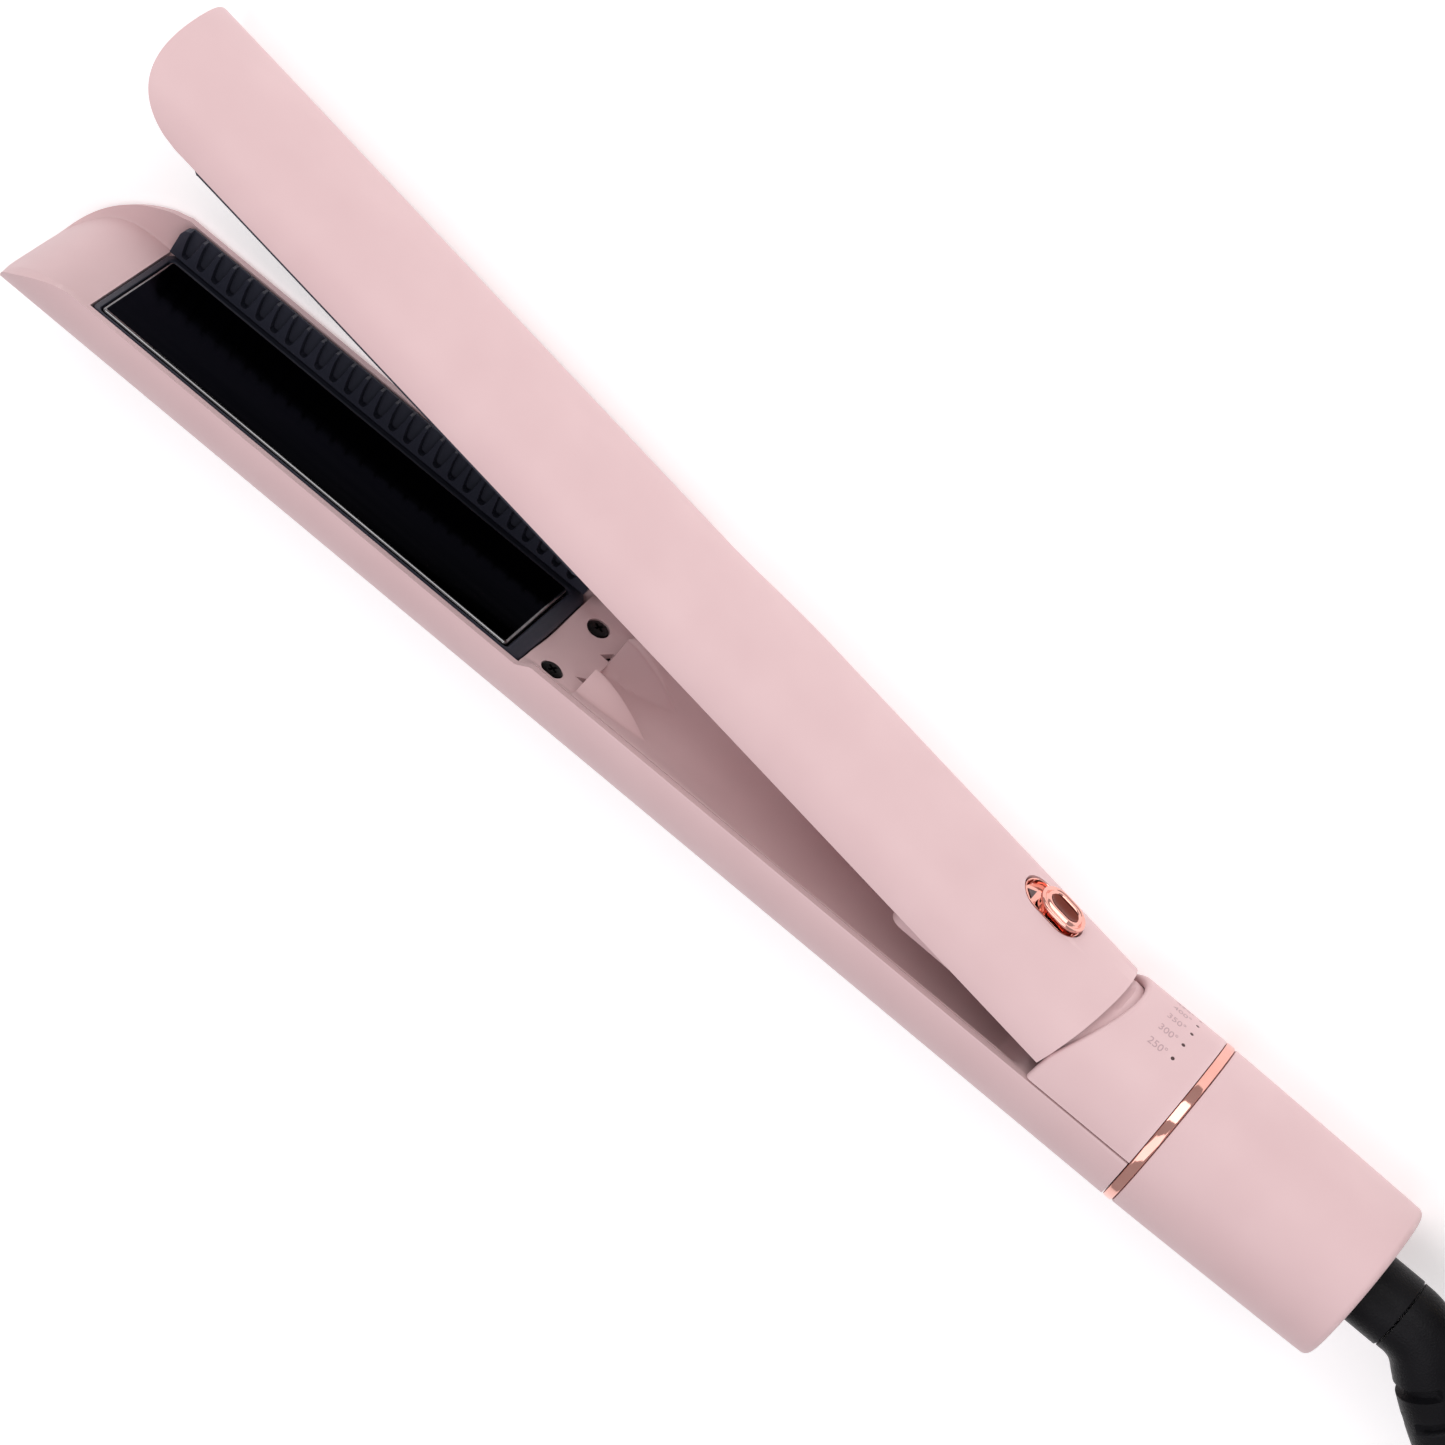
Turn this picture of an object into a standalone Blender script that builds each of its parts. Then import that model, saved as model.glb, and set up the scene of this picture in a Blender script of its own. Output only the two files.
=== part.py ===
"""Flat iron (hair straightener) lying open on its side: two hinged arms with floating heating plates,
a comb along one edge, a sliding lock, a rotary temperature dial and a swivel mains cord.

Design frame, in millimetres: x runs from the tips to the dial, y from the lower arm to the upper arm,
z across the plates. The body's round tail is centred on the x axis. The upper arm is drawn closed
and then turned open about the hinge pin. The whole model is lifted and centred by ORIGIN.
"""
import math

import bmesh
import bpy
from mathutils import Vector

MM = 0.001

# Driving dimensions, millimetres
BODY_R = 17.0            # round tail and lower arm
WALL = 1.4               # moulded shells
GAP = 0.35               # between neighbouring pieces
TIP_X = -149.5           # front of both arms
FRAME_X0 = -131.0        # plate frame, front
FRAME_X1 = -33.6         # plate frame, rear
PLATE_X0 = -128.9        # heating plate, front
PLATE_X1 = -36.9         # heating plate, rear
PLATE_Z0 = -11.6
PLATE_Z1 = 13.9
LOWER_FACE_Y = -2.3      # lower plate's working face
UPPER_FACE_Y = -2.1      # upper plate's working face when closed
DECK_X1 = -22.5          # rear end of the screw deck
SCREW_X = -28.3          # the covers' screws
ARM_END_X = 79.6         # rear edge of the arms' inner covers and of the upper arm
COLLAR_X1 = 102.6
PIVOT_X = 99.0
OPEN_DEG = 8.4           # full opening
UPPER_HALF_Z = 16.9      # upper arm's half width
UPPER_RISE_PLATE = 12.0  # upper arm's height over its rim beside the plate
UPPER_RISE_HANDLE = 13.2
UPPER_RIM_Y = 0.5
DIAL_X0 = 105.6
DIAL_X1 = 148.1
DIAL_R0 = 16.9
DIAL_R1 = 16.1
DIAL_WALL = 2.0
BARREL_R = 7.0           # swivel barrel in the dial's end
BARREL_X1 = 155.65
RING_R = 17.1            # trim ring, the widest part of the tail
CORD_R = 3.25
LOCK_X = 62.7            # centre of the lock slot
LOCK_TRAVEL = 3.0
DOT_X = 97.3             # row of indicator dots
DOT_COUNT = 5
DOT_STEP_DEG = 12.5

OPEN_TOP_Y = 48.668      # outermost point of the open upper arm
MIDDLE_X = (BARREL_X1 + TIP_X) / 2    # placed at the origin
ORIGIN = Vector((-MIDDLE_X, -(OPEN_TOP_Y - RING_R) / 2, RING_R))

FINISHES = {
    "soft_pink": ((0.75, 0.52, 0.52), 0.55, 0.0),
    "charcoal": ((0.055, 0.06, 0.08), 0.42, 0.0),
    "plate_black": ((0.008, 0.008, 0.01), 0.12, 0.3),
    "rose_gold": ((0.86, 0.50, 0.40), 0.14, 1.0),
    "rubber_black": ((0.012, 0.012, 0.012), 0.6, 0.0),
    "steel": ((0.6, 0.6, 0.62), 0.3, 1.0),
    "dark_steel": ((0.12, 0.12, 0.13), 0.35, 1.0),
    "ceramic": ((0.85, 0.83, 0.78), 0.5, 0.0),
    "silicone": ((0.62, 0.22, 0.14), 0.6, 0.0),
    "board_green": ((0.03, 0.2, 0.1), 0.45, 0.0),
    "nylon": ((0.75, 0.74, 0.70), 0.5, 0.0),
    "wire_red": ((0.5, 0.04, 0.03), 0.5, 0.0),
    "lens": ((0.12, 0.09, 0.09), 0.3, 0.0),
    "brass": ((0.75, 0.58, 0.25), 0.25, 1.0),
}


# ------------------------------------------------------------------ helpers

def clear_scene():
    for old in list(bpy.data.objects):
        bpy.data.objects.remove(old, do_unlink=True)


def pivot_empty(name, x, y, z, turn_z=0.0, parent=None):
    """An empty on a joint's axis, in design millimetres."""
    empty = bpy.data.objects.new(name, None)
    if parent is None:
        empty.location = (ORIGIN + Vector((x, y, z))) * MM
    else:
        empty.parent = parent
        empty.location = (Vector((x, y, z)) - Vector(parent["design_point"])) * MM
    empty.rotation_euler = (0.0, 0.0, turn_z)
    bpy.context.collection.objects.link(empty)
    empty["design_point"] = (x, y, z)
    return empty


def finish_material(name, finish):
    colour, rough, metal = FINISHES[finish]
    material = bpy.data.materials.new(name)
    material.use_nodes = True
    shader = material.node_tree.nodes["Principled BSDF"]
    shader.inputs["Base Color"].default_value = (*colour, 1.0)
    shader.inputs["Roughness"].default_value = rough
    shader.inputs["Metallic"].default_value = metal
    return material


def place(obj, holder, finish):
    """Hang an object, whose data is in metres about the holder's point, on that holder."""
    bpy.context.collection.objects.link(obj)
    obj.parent = holder
    obj.data.materials.append(finish_material(obj.name, finish))
    return obj


def solid(name, verts, faces, holder, finish, smooth=True):
    """A closed mesh from design-frame millimetres."""
    base = Vector(holder["design_point"])
    mesh = bpy.data.meshes.new(name)
    mesh.from_pydata([(Vector(v) - base) * MM for v in verts], [], faces)
    bm = bmesh.new()
    bm.from_mesh(mesh)
    bmesh.ops.recalc_face_normals(bm, faces=bm.faces)
    bm.to_mesh(mesh)
    bm.free()
    obj = place(bpy.data.objects.new(name, mesh), holder, finish)
    if smooth:
        mesh.shade_smooth()
        mesh.set_sharp_from_angle(angle=math.radians(35))
    return obj


def loft(name, rings, holder, finish):
    """A solid through closed rings of equal length, capped at both ends."""
    count = len(rings[0])
    verts = [point for ring in rings for point in ring]
    faces = []
    last = (len(rings) - 1) * count
    for a in range(0, last, count):
        b = a + count
        for k in range(count):
            n = (k + 1) % count
            faces.append((a + k, a + n, b + n, b + k))
    faces.append(tuple(range(count)))
    faces.append(tuple(range(last, last + count)))
    return solid(name, verts, faces, holder, finish)


def skin_loft(name, sections, holder, finish):
    """A thick skin: each section is (outer points, inner points), the same number of each."""
    count = len(sections[0][0])
    verts = []
    for outer, inner in sections:
        verts += list(outer) + list(inner)
    faces = []
    size = 2 * count
    for i in range(len(sections) - 1):
        a, b = i * size, (i + 1) * size
        for k in range(count - 1):
            faces.append((a + k, a + k + 1, b + k + 1, b + k))
            faces.append((a + count + k + 1, a + count + k, b + count + k, b + count + k + 1))
        for k in (0, count - 1):
            faces.append((a + k, b + k, b + count + k, a + count + k))
    for a in (0, (len(sections) - 1) * size):
        for k in range(count - 1):
            faces.append((a + k, a + k + 1, a + count + k + 1, a + count + k))
    return solid(name, verts, faces, holder, finish)


def box(name, low, high, holder, finish, bevel=0.0):
    x0, y0, z0 = low
    x1, y1, z1 = high
    rings = [[(x, y0, z0), (x, y1, z0), (x, y1, z1), (x, y0, z1)] for x in (x0, x1)]
    obj = loft(name, rings, holder, finish)
    if bevel:
        round_edges(obj, bevel)
    return obj


def round_edges(obj, width, segments=2):
    modifier = obj.modifiers.new("round_edges", "BEVEL")
    modifier.width = width * MM
    modifier.segments = segments
    modifier.limit_method = "ANGLE"
    modifier.angle_limit = math.radians(40)


def turn_angles(sides):
    return [2 * math.pi * k / sides for k in range(sides)]


def circle(x, radius, sides):
    return [(x, radius * math.sin(a), radius * math.cos(a)) for a in turn_angles(sides)]


def turned(name, profile, holder, finish, sides=48):
    """A solid of revolution about x: profile is a list of (x, radius)."""
    return loft(name, [circle(x, r, sides) for x, r in profile], holder, finish)


def turned_ring(name, profile, holder, finish, sides=64):
    """A ring about x: profile is a closed loop of (x, radius)."""
    rings = [circle(x, r, sides) for x, r in profile]
    verts = [point for ring in rings for point in ring]
    faces = []
    for i in range(len(rings)):
        j = (i + 1) % len(rings)
        for k in range(sides):
            n = (k + 1) % sides
            faces.append((i * sides + k, i * sides + n, j * sides + n, j * sides + k))
    return solid(name, verts, faces, holder, finish)


def pin_z(name, x, y, z0, z1, radius, holder, finish, sides=20):
    """A round pin along z."""
    rings = [[(x + radius * math.cos(a), y + radius * math.sin(a), z) for a in turn_angles(sides)]
             for z in (z0, z1)]
    return loft(name, rings, holder, finish)


def pin_y(name, x, z, y0, y1, radius, holder, finish, sides=16):
    """A round pin along y."""
    rings = [[(x + radius * math.cos(a), y, z + radius * math.sin(a)) for a in turn_angles(sides)]
             for y in (y0, y1)]
    return loft(name, rings, holder, finish)


def pill(length, width, y, x=LOCK_X, steps=8):
    """A stadium outline in the plane y, long side along x."""
    radius = width / 2
    reach = length / 2 - radius
    ring = []
    for side in (1, -1):
        for k in range(steps + 1):
            angle = -math.pi / 2 + math.pi * k / steps
            ring.append((x + side * (reach + radius * math.cos(angle)), y, side * radius * math.sin(angle)))
    return ring


def wire(name, points, radius, holder, finish, resolution=2):
    """A round wire or cord along design-frame points, as a bevelled curve with filled ends."""
    base = Vector(holder["design_point"])
    curve = bpy.data.curves.new(name, "CURVE")
    curve.dimensions = "3D"
    curve.bevel_depth = radius * MM
    curve.bevel_resolution = resolution
    curve.use_fill_caps = True
    spline = curve.splines.new("POLY")
    spline.points.add(len(points) - 1)
    for node, point in zip(spline.points, points):
        node.co = (*((Vector(point) - base) * MM), 1.0)
    return place(bpy.data.objects.new(name, curve), holder, finish)


def smooth_route(points, spacing):
    """Evenly spaced points on a Catmull-Rom curve through the route's own points."""
    way = [Vector(p) for p in points]
    padded = [2 * way[0] - way[1]] + way + [2 * way[-1] - way[-2]]
    fine = []
    for i in range(1, len(padded) - 2):
        p0, p1, p2, p3 = padded[i - 1:i + 3]
        for s in range(24):
            t = s / 24
            fine.append(0.5 * (2 * p1 + (p2 - p0) * t + (2 * p0 - 5 * p1 + 4 * p2 - p3) * t * t
                               + (3 * p1 - p0 - 3 * p2 + p3) * t ** 3))
    fine.append(way[-1])
    total = sum((b - a).length for a, b in zip(fine, fine[1:]))
    count = max(2, round(total / spacing))
    out = [fine[0]]
    walked, target, step = 0.0, total / count, total / count
    for a, b in zip(fine, fine[1:]):
        length = (b - a).length
        while walked + length >= target - 1e-9 and len(out) < count:
            out.append(a.lerp(b, (target - walked) / length))
            target += step
        walked += length
    out.append(fine[-1])
    return out


def cut(obj, *cutters):
    """Cut hidden tools out of an object."""
    for tool in cutters:
        tool.hide_render = True
        tool.display_type = "WIRE"
        modifier = obj.modifiers.new("cut_" + tool.name, "BOOLEAN")
        modifier.operation = "DIFFERENCE"
        modifier.solver = "EXACT"
        modifier.object = tool


def fuse(obj, *others):
    """Join hidden lumps onto an object."""
    for tool in others:
        tool.hide_render = True
        tool.display_type = "WIRE"
        modifier = obj.modifiers.new("join_" + tool.name, "BOOLEAN")
        modifier.operation = "UNION"
        modifier.solver = "EXACT"
        modifier.object = tool


def ramp(value, start, end, low=0.0, high=1.0):
    """Smooth step from low at start to high at end."""
    t = min(1.0, max(0.0, (value - start) / (end - start)))
    return low + (high - low) * t * t * (3 - 2 * t)


# ------------------------------------------------------------------ arm shells

OUTLINE_POINTS = 19
COMB_Z0, COMB_Z1 = -14.7, -12.6
REAR_RIM_Y = -0.8    # lower arm's rim behind the plate


def nose_curve(x):
    """0 at the plate frame, 1 at the tip: level at first, then rounding over."""
    return max(0.0, (FRAME_X0 - x) / (FRAME_X0 - TIP_X)) ** 3.8


def lower_scoop(x):
    return -3.3 - 9.5 * nose_curve(x)


def lower_near_rim(x):
    if x < FRAME_X0:
        return min(-2.5, lower_scoop(x) + 0.8)
    return ramp(x, FRAME_X1 + 0.3, FRAME_X1 + 1.6, -2.5, REAR_RIM_Y)


def lower_far_rim(x):
    return ramp(x, -30.0, -23.0, 4.2, REAR_RIM_Y)


def upper_far_rim(x):
    rise = ramp(x, -141.5, -131.0, 0.0, 4.6)
    fall = ramp(x, -27.0, -18.0, 0.0, 4.6)
    return UPPER_RIM_Y + rise - fall


def upper_rise(x):
    """The handle stands a little prouder than the plate section."""
    return ramp(x, -22.0, 2.0, UPPER_RISE_PLATE, UPPER_RISE_HANDLE)


def tip_setback(angle, limit, corner):
    """How far the tip's edge leans back at an angle from the arm's outer centre line.

    corner is the extra length over which the edge rounds into the rim, which lies at limit.
    """
    near_limit = min(1.0, abs(angle) / limit) ** 12
    return 9.6 * (abs(angle) / (math.pi / 2)) ** 3.6 + corner * (1 - math.sqrt(1 - near_limit))


def arm_points(side, x_of, near_y, far_y, rise, half_z, base_y, floor):
    """One section: outer and inner points from the near rim (+z) to the far rim (-z).

    side is -1 for the lower arm and +1 for the upper. floor(x) limits how deep the inside goes.
    """
    outer, inner = [], []
    for k in range(OUTLINE_POINTS):
        t = k / (OUTLINE_POINTS - 1)
        ends = []
        for shrink in (0.0, WALL):
            height, half = rise - shrink, half_z - shrink
            near = math.acos(max(-1.0, min(1.0, side * (near_y - base_y) / height)))
            far = math.acos(max(-1.0, min(1.0, side * (far_y - base_y) / height)))
            angle = -near + (near + far) * t
            ends.append((angle, base_y + side * height * math.cos(angle), -half * math.sin(angle)))
        angle, y, z = ends[0]
        x = x_of(angle)
        outer.append((x, y, z))
        angle, y, z = ends[1]
        limit = floor(x)
        if side < 0:
            y = max(y, limit)
        elif z > COMB_Z1:
            y = min(y, limit)
        inner.append((x, y, z))
    return outer, inner


def arm_shell(name, side, holder):
    """The outer casing of one arm, from its scooped tip to its rear end."""
    lower = side < 0
    base_y = 0.0 if lower else UPPER_RIM_Y
    half_z = BODY_R if lower else UPPER_HALF_Z
    scoop_x = FRAME_X0 - GAP

    def rise(x):
        return BODY_R if lower else upper_rise(x)

    def rims(x):
        return (lower_near_rim(x), lower_far_rim(x)) if lower else (UPPER_RIM_Y, upper_far_rim(x))

    def scoop_floor(x):
        return lower_scoop(x) if lower else UPPER_RIM_Y + 0.6 + 8.9 * nose_curve(x)

    def open_inside(x):
        return -1000.0 if lower else 1000.0

    sections = []
    near_y, far_y = rims(scoop_x)
    far_tip = far_y - 1.0 if lower else UPPER_RIM_Y
    limit, corner = (1.82, 1.6) if lower else (math.pi / 2, 5.0)
    tip_steps = 9
    for i in range(tip_steps + 1):
        f = i / tip_steps

        def x_of(angle, f=f):
            return (TIP_X + tip_setback(angle, limit, corner)) * (1 - f) + scoop_x * f

        far_here = far_tip + (far_y - far_tip) * min(1.0, 1.8 * f)
        near_here = rims((TIP_X + 0.8) * (1 - f) + scoop_x * f)[0]
        sections.append(arm_points(side, x_of, near_here, far_here, rise(scoop_x), half_z, base_y,
                                   scoop_floor))
    stations = [scoop_x + 0.02, -90.0, FRAME_X1 + 0.3, FRAME_X1 + 1.6,
                -30.0, -26.5, -23.0, -18.0, -10.0, 0.0, 40.0]
    for x in stations:
        near_y, far_y = rims(x)
        sections.append(arm_points(side, lambda angle, x=x: x, near_y, far_y, rise(x), half_z, base_y,
                                   open_inside))
    if lower:
        for x in (ARM_END_X, COLLAR_X1):
            sections.append(arm_points(side, lambda angle, x=x: x, REAR_RIM_Y, REAR_RIM_Y, BODY_R, half_z,
                                       base_y, open_inside))
    else:
        def rear_edge(angle):
            return ARM_END_X + 2.0 * max(0.0, math.cos(angle))
        sections.append(arm_points(side, rear_edge, UPPER_RIM_Y, UPPER_RIM_Y, UPPER_RISE_HANDLE, half_z,
                                   base_y, open_inside))
    return skin_loft(name, sections, holder, "soft_pink")


# ------------------------------------------------------------------ inner covers

LOWER_COVER_HALF_Z = 15.2
UPPER_COVER_HALF_Z = 14.8   # clears the lower arm's far wall as the iron closes
COVER_THICK = 1.3
COVER_POINTS = 15


def across(half):
    """Positions across a cover, closer together near the edges."""
    return [half * math.sin(math.pi / 2 * (1 - 2 * k / (COVER_POINTS - 1))) for k in range(COVER_POINTS)]


def trough_floor(x):
    """Depth of the lower arm's trough along its length."""
    deep = ramp(x, -8.0, 25.0, -6.0, -8.2)
    return ramp(x, 74.0, ARM_END_X - 0.6, deep, -1.6)


def lower_cover_y(x, z):
    edge = -0.9
    if x < DECK_X1:
        deck = -2.6 - 0.5 * math.cos(math.pi / 2 * min(1.0, abs(z) / 11.0)) ** 2
        return ramp(abs(z), 12.6, LOWER_COVER_HALF_Z, deck, edge)
    return ramp(abs(z), 10.8, LOWER_COVER_HALF_Z - 0.2, trough_floor(x), edge)


def upper_cover_y(x, z):
    edge = UPPER_RIM_Y + 0.4
    if x < DECK_X1:
        return edge + 0.8 * ramp(abs(z), UPPER_COVER_HALF_Z, 11.0)
    return edge + ramp(x, DECK_X1, 0.0, 2.6, 3.6) * ramp(abs(z), UPPER_COVER_HALF_Z - 0.3, 8.0)


def inner_cover(name, surface, side, half, stations, holder):
    """A thin cover across an arm; side is +1 where its visible face looks up (+y)."""
    sections = []
    for x in stations:
        top = [(x, surface(x, z), z) for z in across(half)]
        under = [(px, py - side * COVER_THICK, pz) for px, py, pz in top]
        sections.append((top, under))
    return skin_loft(name, sections, holder, "soft_pink")


def guide_fin(name, z, holder):
    """A shark-fin guide that stands in the trough just behind the deck."""
    foot_y, crest_y, half = -7.0, 0.6, 1.1
    x_front, x_rear = DECK_X1 + 0.1, -9.5
    x_crest = x_front + 1.4
    outline = [(x_front - 0.4, foot_y), (x_front + 0.6, crest_y - 0.8), (x_crest, crest_y)]
    for k in range(1, 8):
        t = k / 7
        outline.append((x_crest + (x_rear - x_crest) * t, crest_y + (foot_y - crest_y) * t ** 1.8))
    rings = [[(x, y, zz) for x, y in outline] for zz in (z - half, z + half)]
    return loft(name, rings, holder, "soft_pink")


def covers(root, arm):
    deck_end = [DECK_X1 - 0.02, DECK_X1 + 0.02]
    lower_stations = [FRAME_X1 + GAP, -28.0, DECK_X1 - 0.3, *deck_end, -16.0, -8.0, 2.0, 14.0, 25.0, 50.0,
                      74.0, 75.5, 77.0, 78.2, ARM_END_X - 0.6]
    lower = inner_cover("lower_inner_cover", lower_cover_y, 1, LOWER_COVER_HALF_Z, lower_stations, root)
    fuse(lower, guide_fin("fin_near", 6.6, root), guide_fin("fin_far", -6.6, root))
    for end, z in (("near", 10.0), ("far", -9.2)):
        cut(lower, pin_y("cover_screw_hole", SCREW_X, z, -6.0, 1.0, 2.3, root, "soft_pink"))
        head = pin_y("cover_screw_" + end, SCREW_X, z, -10.0, -3.6, 1.9, root, "dark_steel")
        round_edges(head, 0.25, 1)
    upper_stations = [FRAME_X1 + GAP, -28.0, *deck_end, -12.0, 0.0, 20.0, 43.0, 60.0, 70.4]
    upper = inner_cover("upper_inner_cover", upper_cover_y, -1, UPPER_COVER_HALF_Z, upper_stations, arm)
    for end, z in (("near", 9.6), ("far", -9.6)):
        cut(upper, pin_y("upper_screw_hole", SCREW_X, z, -2.0, 5.0, 2.3, arm, "soft_pink"))
        pin_y("upper_screw_" + end, SCREW_X, z, 2.0, 7.5, 1.9, arm, "dark_steel")
    tongue(arm)


def tongue(arm):
    """The wedge under the upper arm that drops into the trough when the iron is closed."""
    x0, x1, half = 44.6, 74.0, 11.6
    low0, low1 = -5.7, -1.4
    stations = [(x0, low0 + 1.6), (x0 + 0.5, low0 + 0.5), (x0 + 1.6, low0), (x1 - 1.0, low1),
                (x1, low1 + 0.8)]
    rings = []
    for x, low in stations:
        top = 0.2
        rings.append([(x, top, -half), (x, low + 0.8, -half), (x, low, -half + 0.8),
                      (x, low, half - 0.8), (x, low + 0.8, half), (x, top, half)])
    return loft("hinge_tongue", rings, arm, "soft_pink")


# ------------------------------------------------------------------ heating plates

def plate_frame(name, lip, side, bar, rails, holder):
    """A frame round a plate: end bars of one outline (y, z) joined by side rails.

    The end bars' working faces slope away from the plate. side is +1 where the lip faces up.
    """
    inner_x0, inner_x1 = PLATE_X0 - GAP, PLATE_X1 + GAP
    slope = 0.9
    frame = None
    for x0, x1 in ((FRAME_X0, inner_x0), (inner_x1, FRAME_X1)):
        piece = loft(name, [[(x, y, z) for y, z in bar] for x in (x0, x1)], holder, "charcoal")
        outer_x, start_x = (x0, x1 - 0.3) if x0 == FRAME_X0 else (x1, x0 + 1.0)
        past_x = 2 * outer_x - start_x
        wedge = [(start_x, lip), (outer_x, lip - side * slope), (past_x, lip - side * 2 * slope),
                 (past_x, lip + side * 3), (start_x, lip + side * 3)]
        rings = [[(x, y, z) for x, y in wedge] for z in (-18.0, 18.0)]
        cut(piece, loft(name + "_slope", rings, holder, "charcoal"))
        if frame is None:
            frame = piece
        else:
            fuse(frame, piece)
    for y0, y1, z0, z1 in rails:
        low, high = (inner_x0 - 0.2, y0, z0), (inner_x1 + 0.2, y1, z1)
        fuse(frame, box(name + "_rail", low, high, holder, "charcoal"))
    return frame


def heating_plate(name, face_y, side, holder):
    """A channel-shaped metal plate; side is +1 where its face looks up."""
    back = face_y - side * 2.2
    skirt = face_y - side * 3.5
    low, high = sorted((face_y, skirt))
    plate = box(name, (PLATE_X0, low, PLATE_Z0), (PLATE_X1, high, PLATE_Z1), holder, "plate_black")
    inner = sorted((back, skirt - side * 3))
    cut(plate, box(name + "_channel", (PLATE_X0 + 1.6, inner[0], PLATE_Z0 + 1.6),
                   (PLATE_X1 - 1.6, inner[1], PLATE_Z1 - 1.6), holder, "plate_black"))
    round_edges(plate, 0.5)
    return plate


def stack(prefix, face_y, side, plate_holder, fixed_holder):
    """What sits behind a plate: heater and clip on the plate, carrier and cushions in the arm."""
    def layer(name, near, deep, x0, x1, z0, z1, holder, finish, bevel=0.0):
        low, high = sorted((face_y - side * near, face_y - side * deep))
        return box(prefix + name, (x0, low, z0), (x1, high, z1), holder, finish, bevel)

    layer("_heater", 2.5, 4.1, -112.0, -52.0, -5.0, 7.5, plate_holder, "ceramic")
    layer("_heater_clip", 4.4, 5.1, -118.0, -46.0, -7.0, 9.5, plate_holder, "steel", 0.2)
    layer("_plate_carrier", 8.4, 9.4, -124.0, -42.0, -8.0, 10.0, fixed_holder, "nylon", 0.2)
    layer("_cushion_front", 5.9, 8.1, -112.0, -106.0, -4.0, 6.0, fixed_holder, "silicone", 0.4)
    layer("_cushion_rear", 5.9, 8.1, -58.0, -52.0, -4.0, 6.0, fixed_holder, "silicone", 0.4)


def heat_comb(root):
    """Rounded teeth along the far side of the lower plate."""
    x0, x1 = FRAME_X0, -34.4
    foot_y, top_y, slot_y = -2.0, 3.95, -1.2
    start, pitch, count = -128.05, 3.45, 27
    half_top, half_slot = 1.25, 0.8
    outline = [(x0, foot_y), (x0, top_y - 1.2), (x0 + 1.0, top_y)]
    for i in range(count):
        middle = start + pitch * i
        outline += [(middle - half_top, top_y), (middle - half_top + 0.15, 1.4)]
        for k in range(5):
            angle = math.pi + math.pi * k / 4
            outline.append((middle + half_slot * math.cos(angle), slot_y + half_slot * (1 + math.sin(angle))))
        outline += [(middle + half_top - 0.15, 1.4), (middle + half_top, top_y)]
    outline += [(x1 - 1.0, top_y), (x1, top_y - 1.2), (x1, foot_y)]
    rings = [[(x, y, z) for x, y in outline] for z in (COMB_Z0, COMB_Z1)]
    return loft("heat_comb", rings, root, "charcoal")


def plates(root, arm, lower_float, upper_float):
    edge_near, edge_far = PLATE_Z1 + GAP, PLATE_Z0 - GAP
    lip = -2.7
    bar = [(lip, -14.8), (lip, 14.85), (-3.9, 14.85), (-8.4, 11.0), (-8.4, -11.5), (-4.1, -14.8)]
    rails = [(-3.9, lip - 0.05, edge_near, 14.85), (-4.1, lip - 0.05, -14.8, edge_far)]
    plate_frame("lower_plate_frame", lip, 1, bar, rails, root)
    heat_comb(root)
    heating_plate("lower_plate", LOWER_FACE_Y, 1, lower_float)
    stack("lower", LOWER_FACE_Y, 1, lower_float, root)
    box("thermistor", (-84.0, -8.6, 10.4), (-80.0, -6.6, 12.0), root, "brass")

    lip = -1.2
    bar = [(lip, -12.0), (4.3, -12.0), (4.3, -13.5), (5.2, -13.5), (5.2, 11.0), (1.8, 15.0), (lip, 15.0)]
    rails = [(lip + 0.05, 1.8, edge_near, 15.0), (4.3, 5.15, -13.5, edge_far)]
    plate_frame("upper_plate_frame", lip, -1, bar, rails, arm)
    heating_plate("upper_plate", UPPER_FACE_Y, -1, upper_float)
    stack("upper", UPPER_FACE_Y, -1, upper_float, arm)


# ------------------------------------------------------------------ hinge end

def collar(root):
    """The half tube over the hinge; its front edge sweeps back over the top."""
    def section(edge_x):
        outer, inner = [], []
        for k in range(OUTLINE_POINTS):
            t = k / (OUTLINE_POINTS - 1)
            for radius, row in ((BODY_R, outer), (BODY_R - 1.6, inner)):
                limit = math.pi / 2 + math.asin(0.35 / radius)
                angle = -limit + 2 * limit * t
                row.append((edge_x(angle), radius * math.cos(angle), -radius * math.sin(angle)))
        return outer, inner

    def front(angle):
        c = max(0.0, math.cos(angle))
        return max(78.8 + 7.8 * c ** 1.3, ARM_END_X + GAP + 2.0 * c)

    steps = 6
    sections = []
    for i in range(steps + 1):
        f = i / steps
        sections.append(section(lambda angle, f=f: front(angle) * (1 - f) + COLLAR_X1 * f))
    body = skin_loft("hinge_collar", sections, root, "soft_pink")
    for i in range(DOT_COUNT):
        angle = math.radians(DOT_STEP_DEG * (i - (DOT_COUNT - 1) / 2))
        cut(body, spoke("dot_hole", angle, 13.0, 18.5, 0.85, root))
    return body


def spoke(name, angle, r0, r1, radius, holder, sides=10):
    """A short rod standing radially on the body's axis; angle is measured from +y."""
    out = Vector((0, math.cos(angle), -math.sin(angle)))
    side = Vector((0, math.sin(angle), math.cos(angle)))
    rings = []
    for r in (r0, r1):
        centre = Vector((DOT_X, 0, 0)) + out * r
        rings.append([tuple(centre + (Vector((1, 0, 0)) * math.cos(a) + side * math.sin(a)) * radius)
                      for a in turn_angles(sides)])
    return loft(name, rings, holder, "lens")


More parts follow.
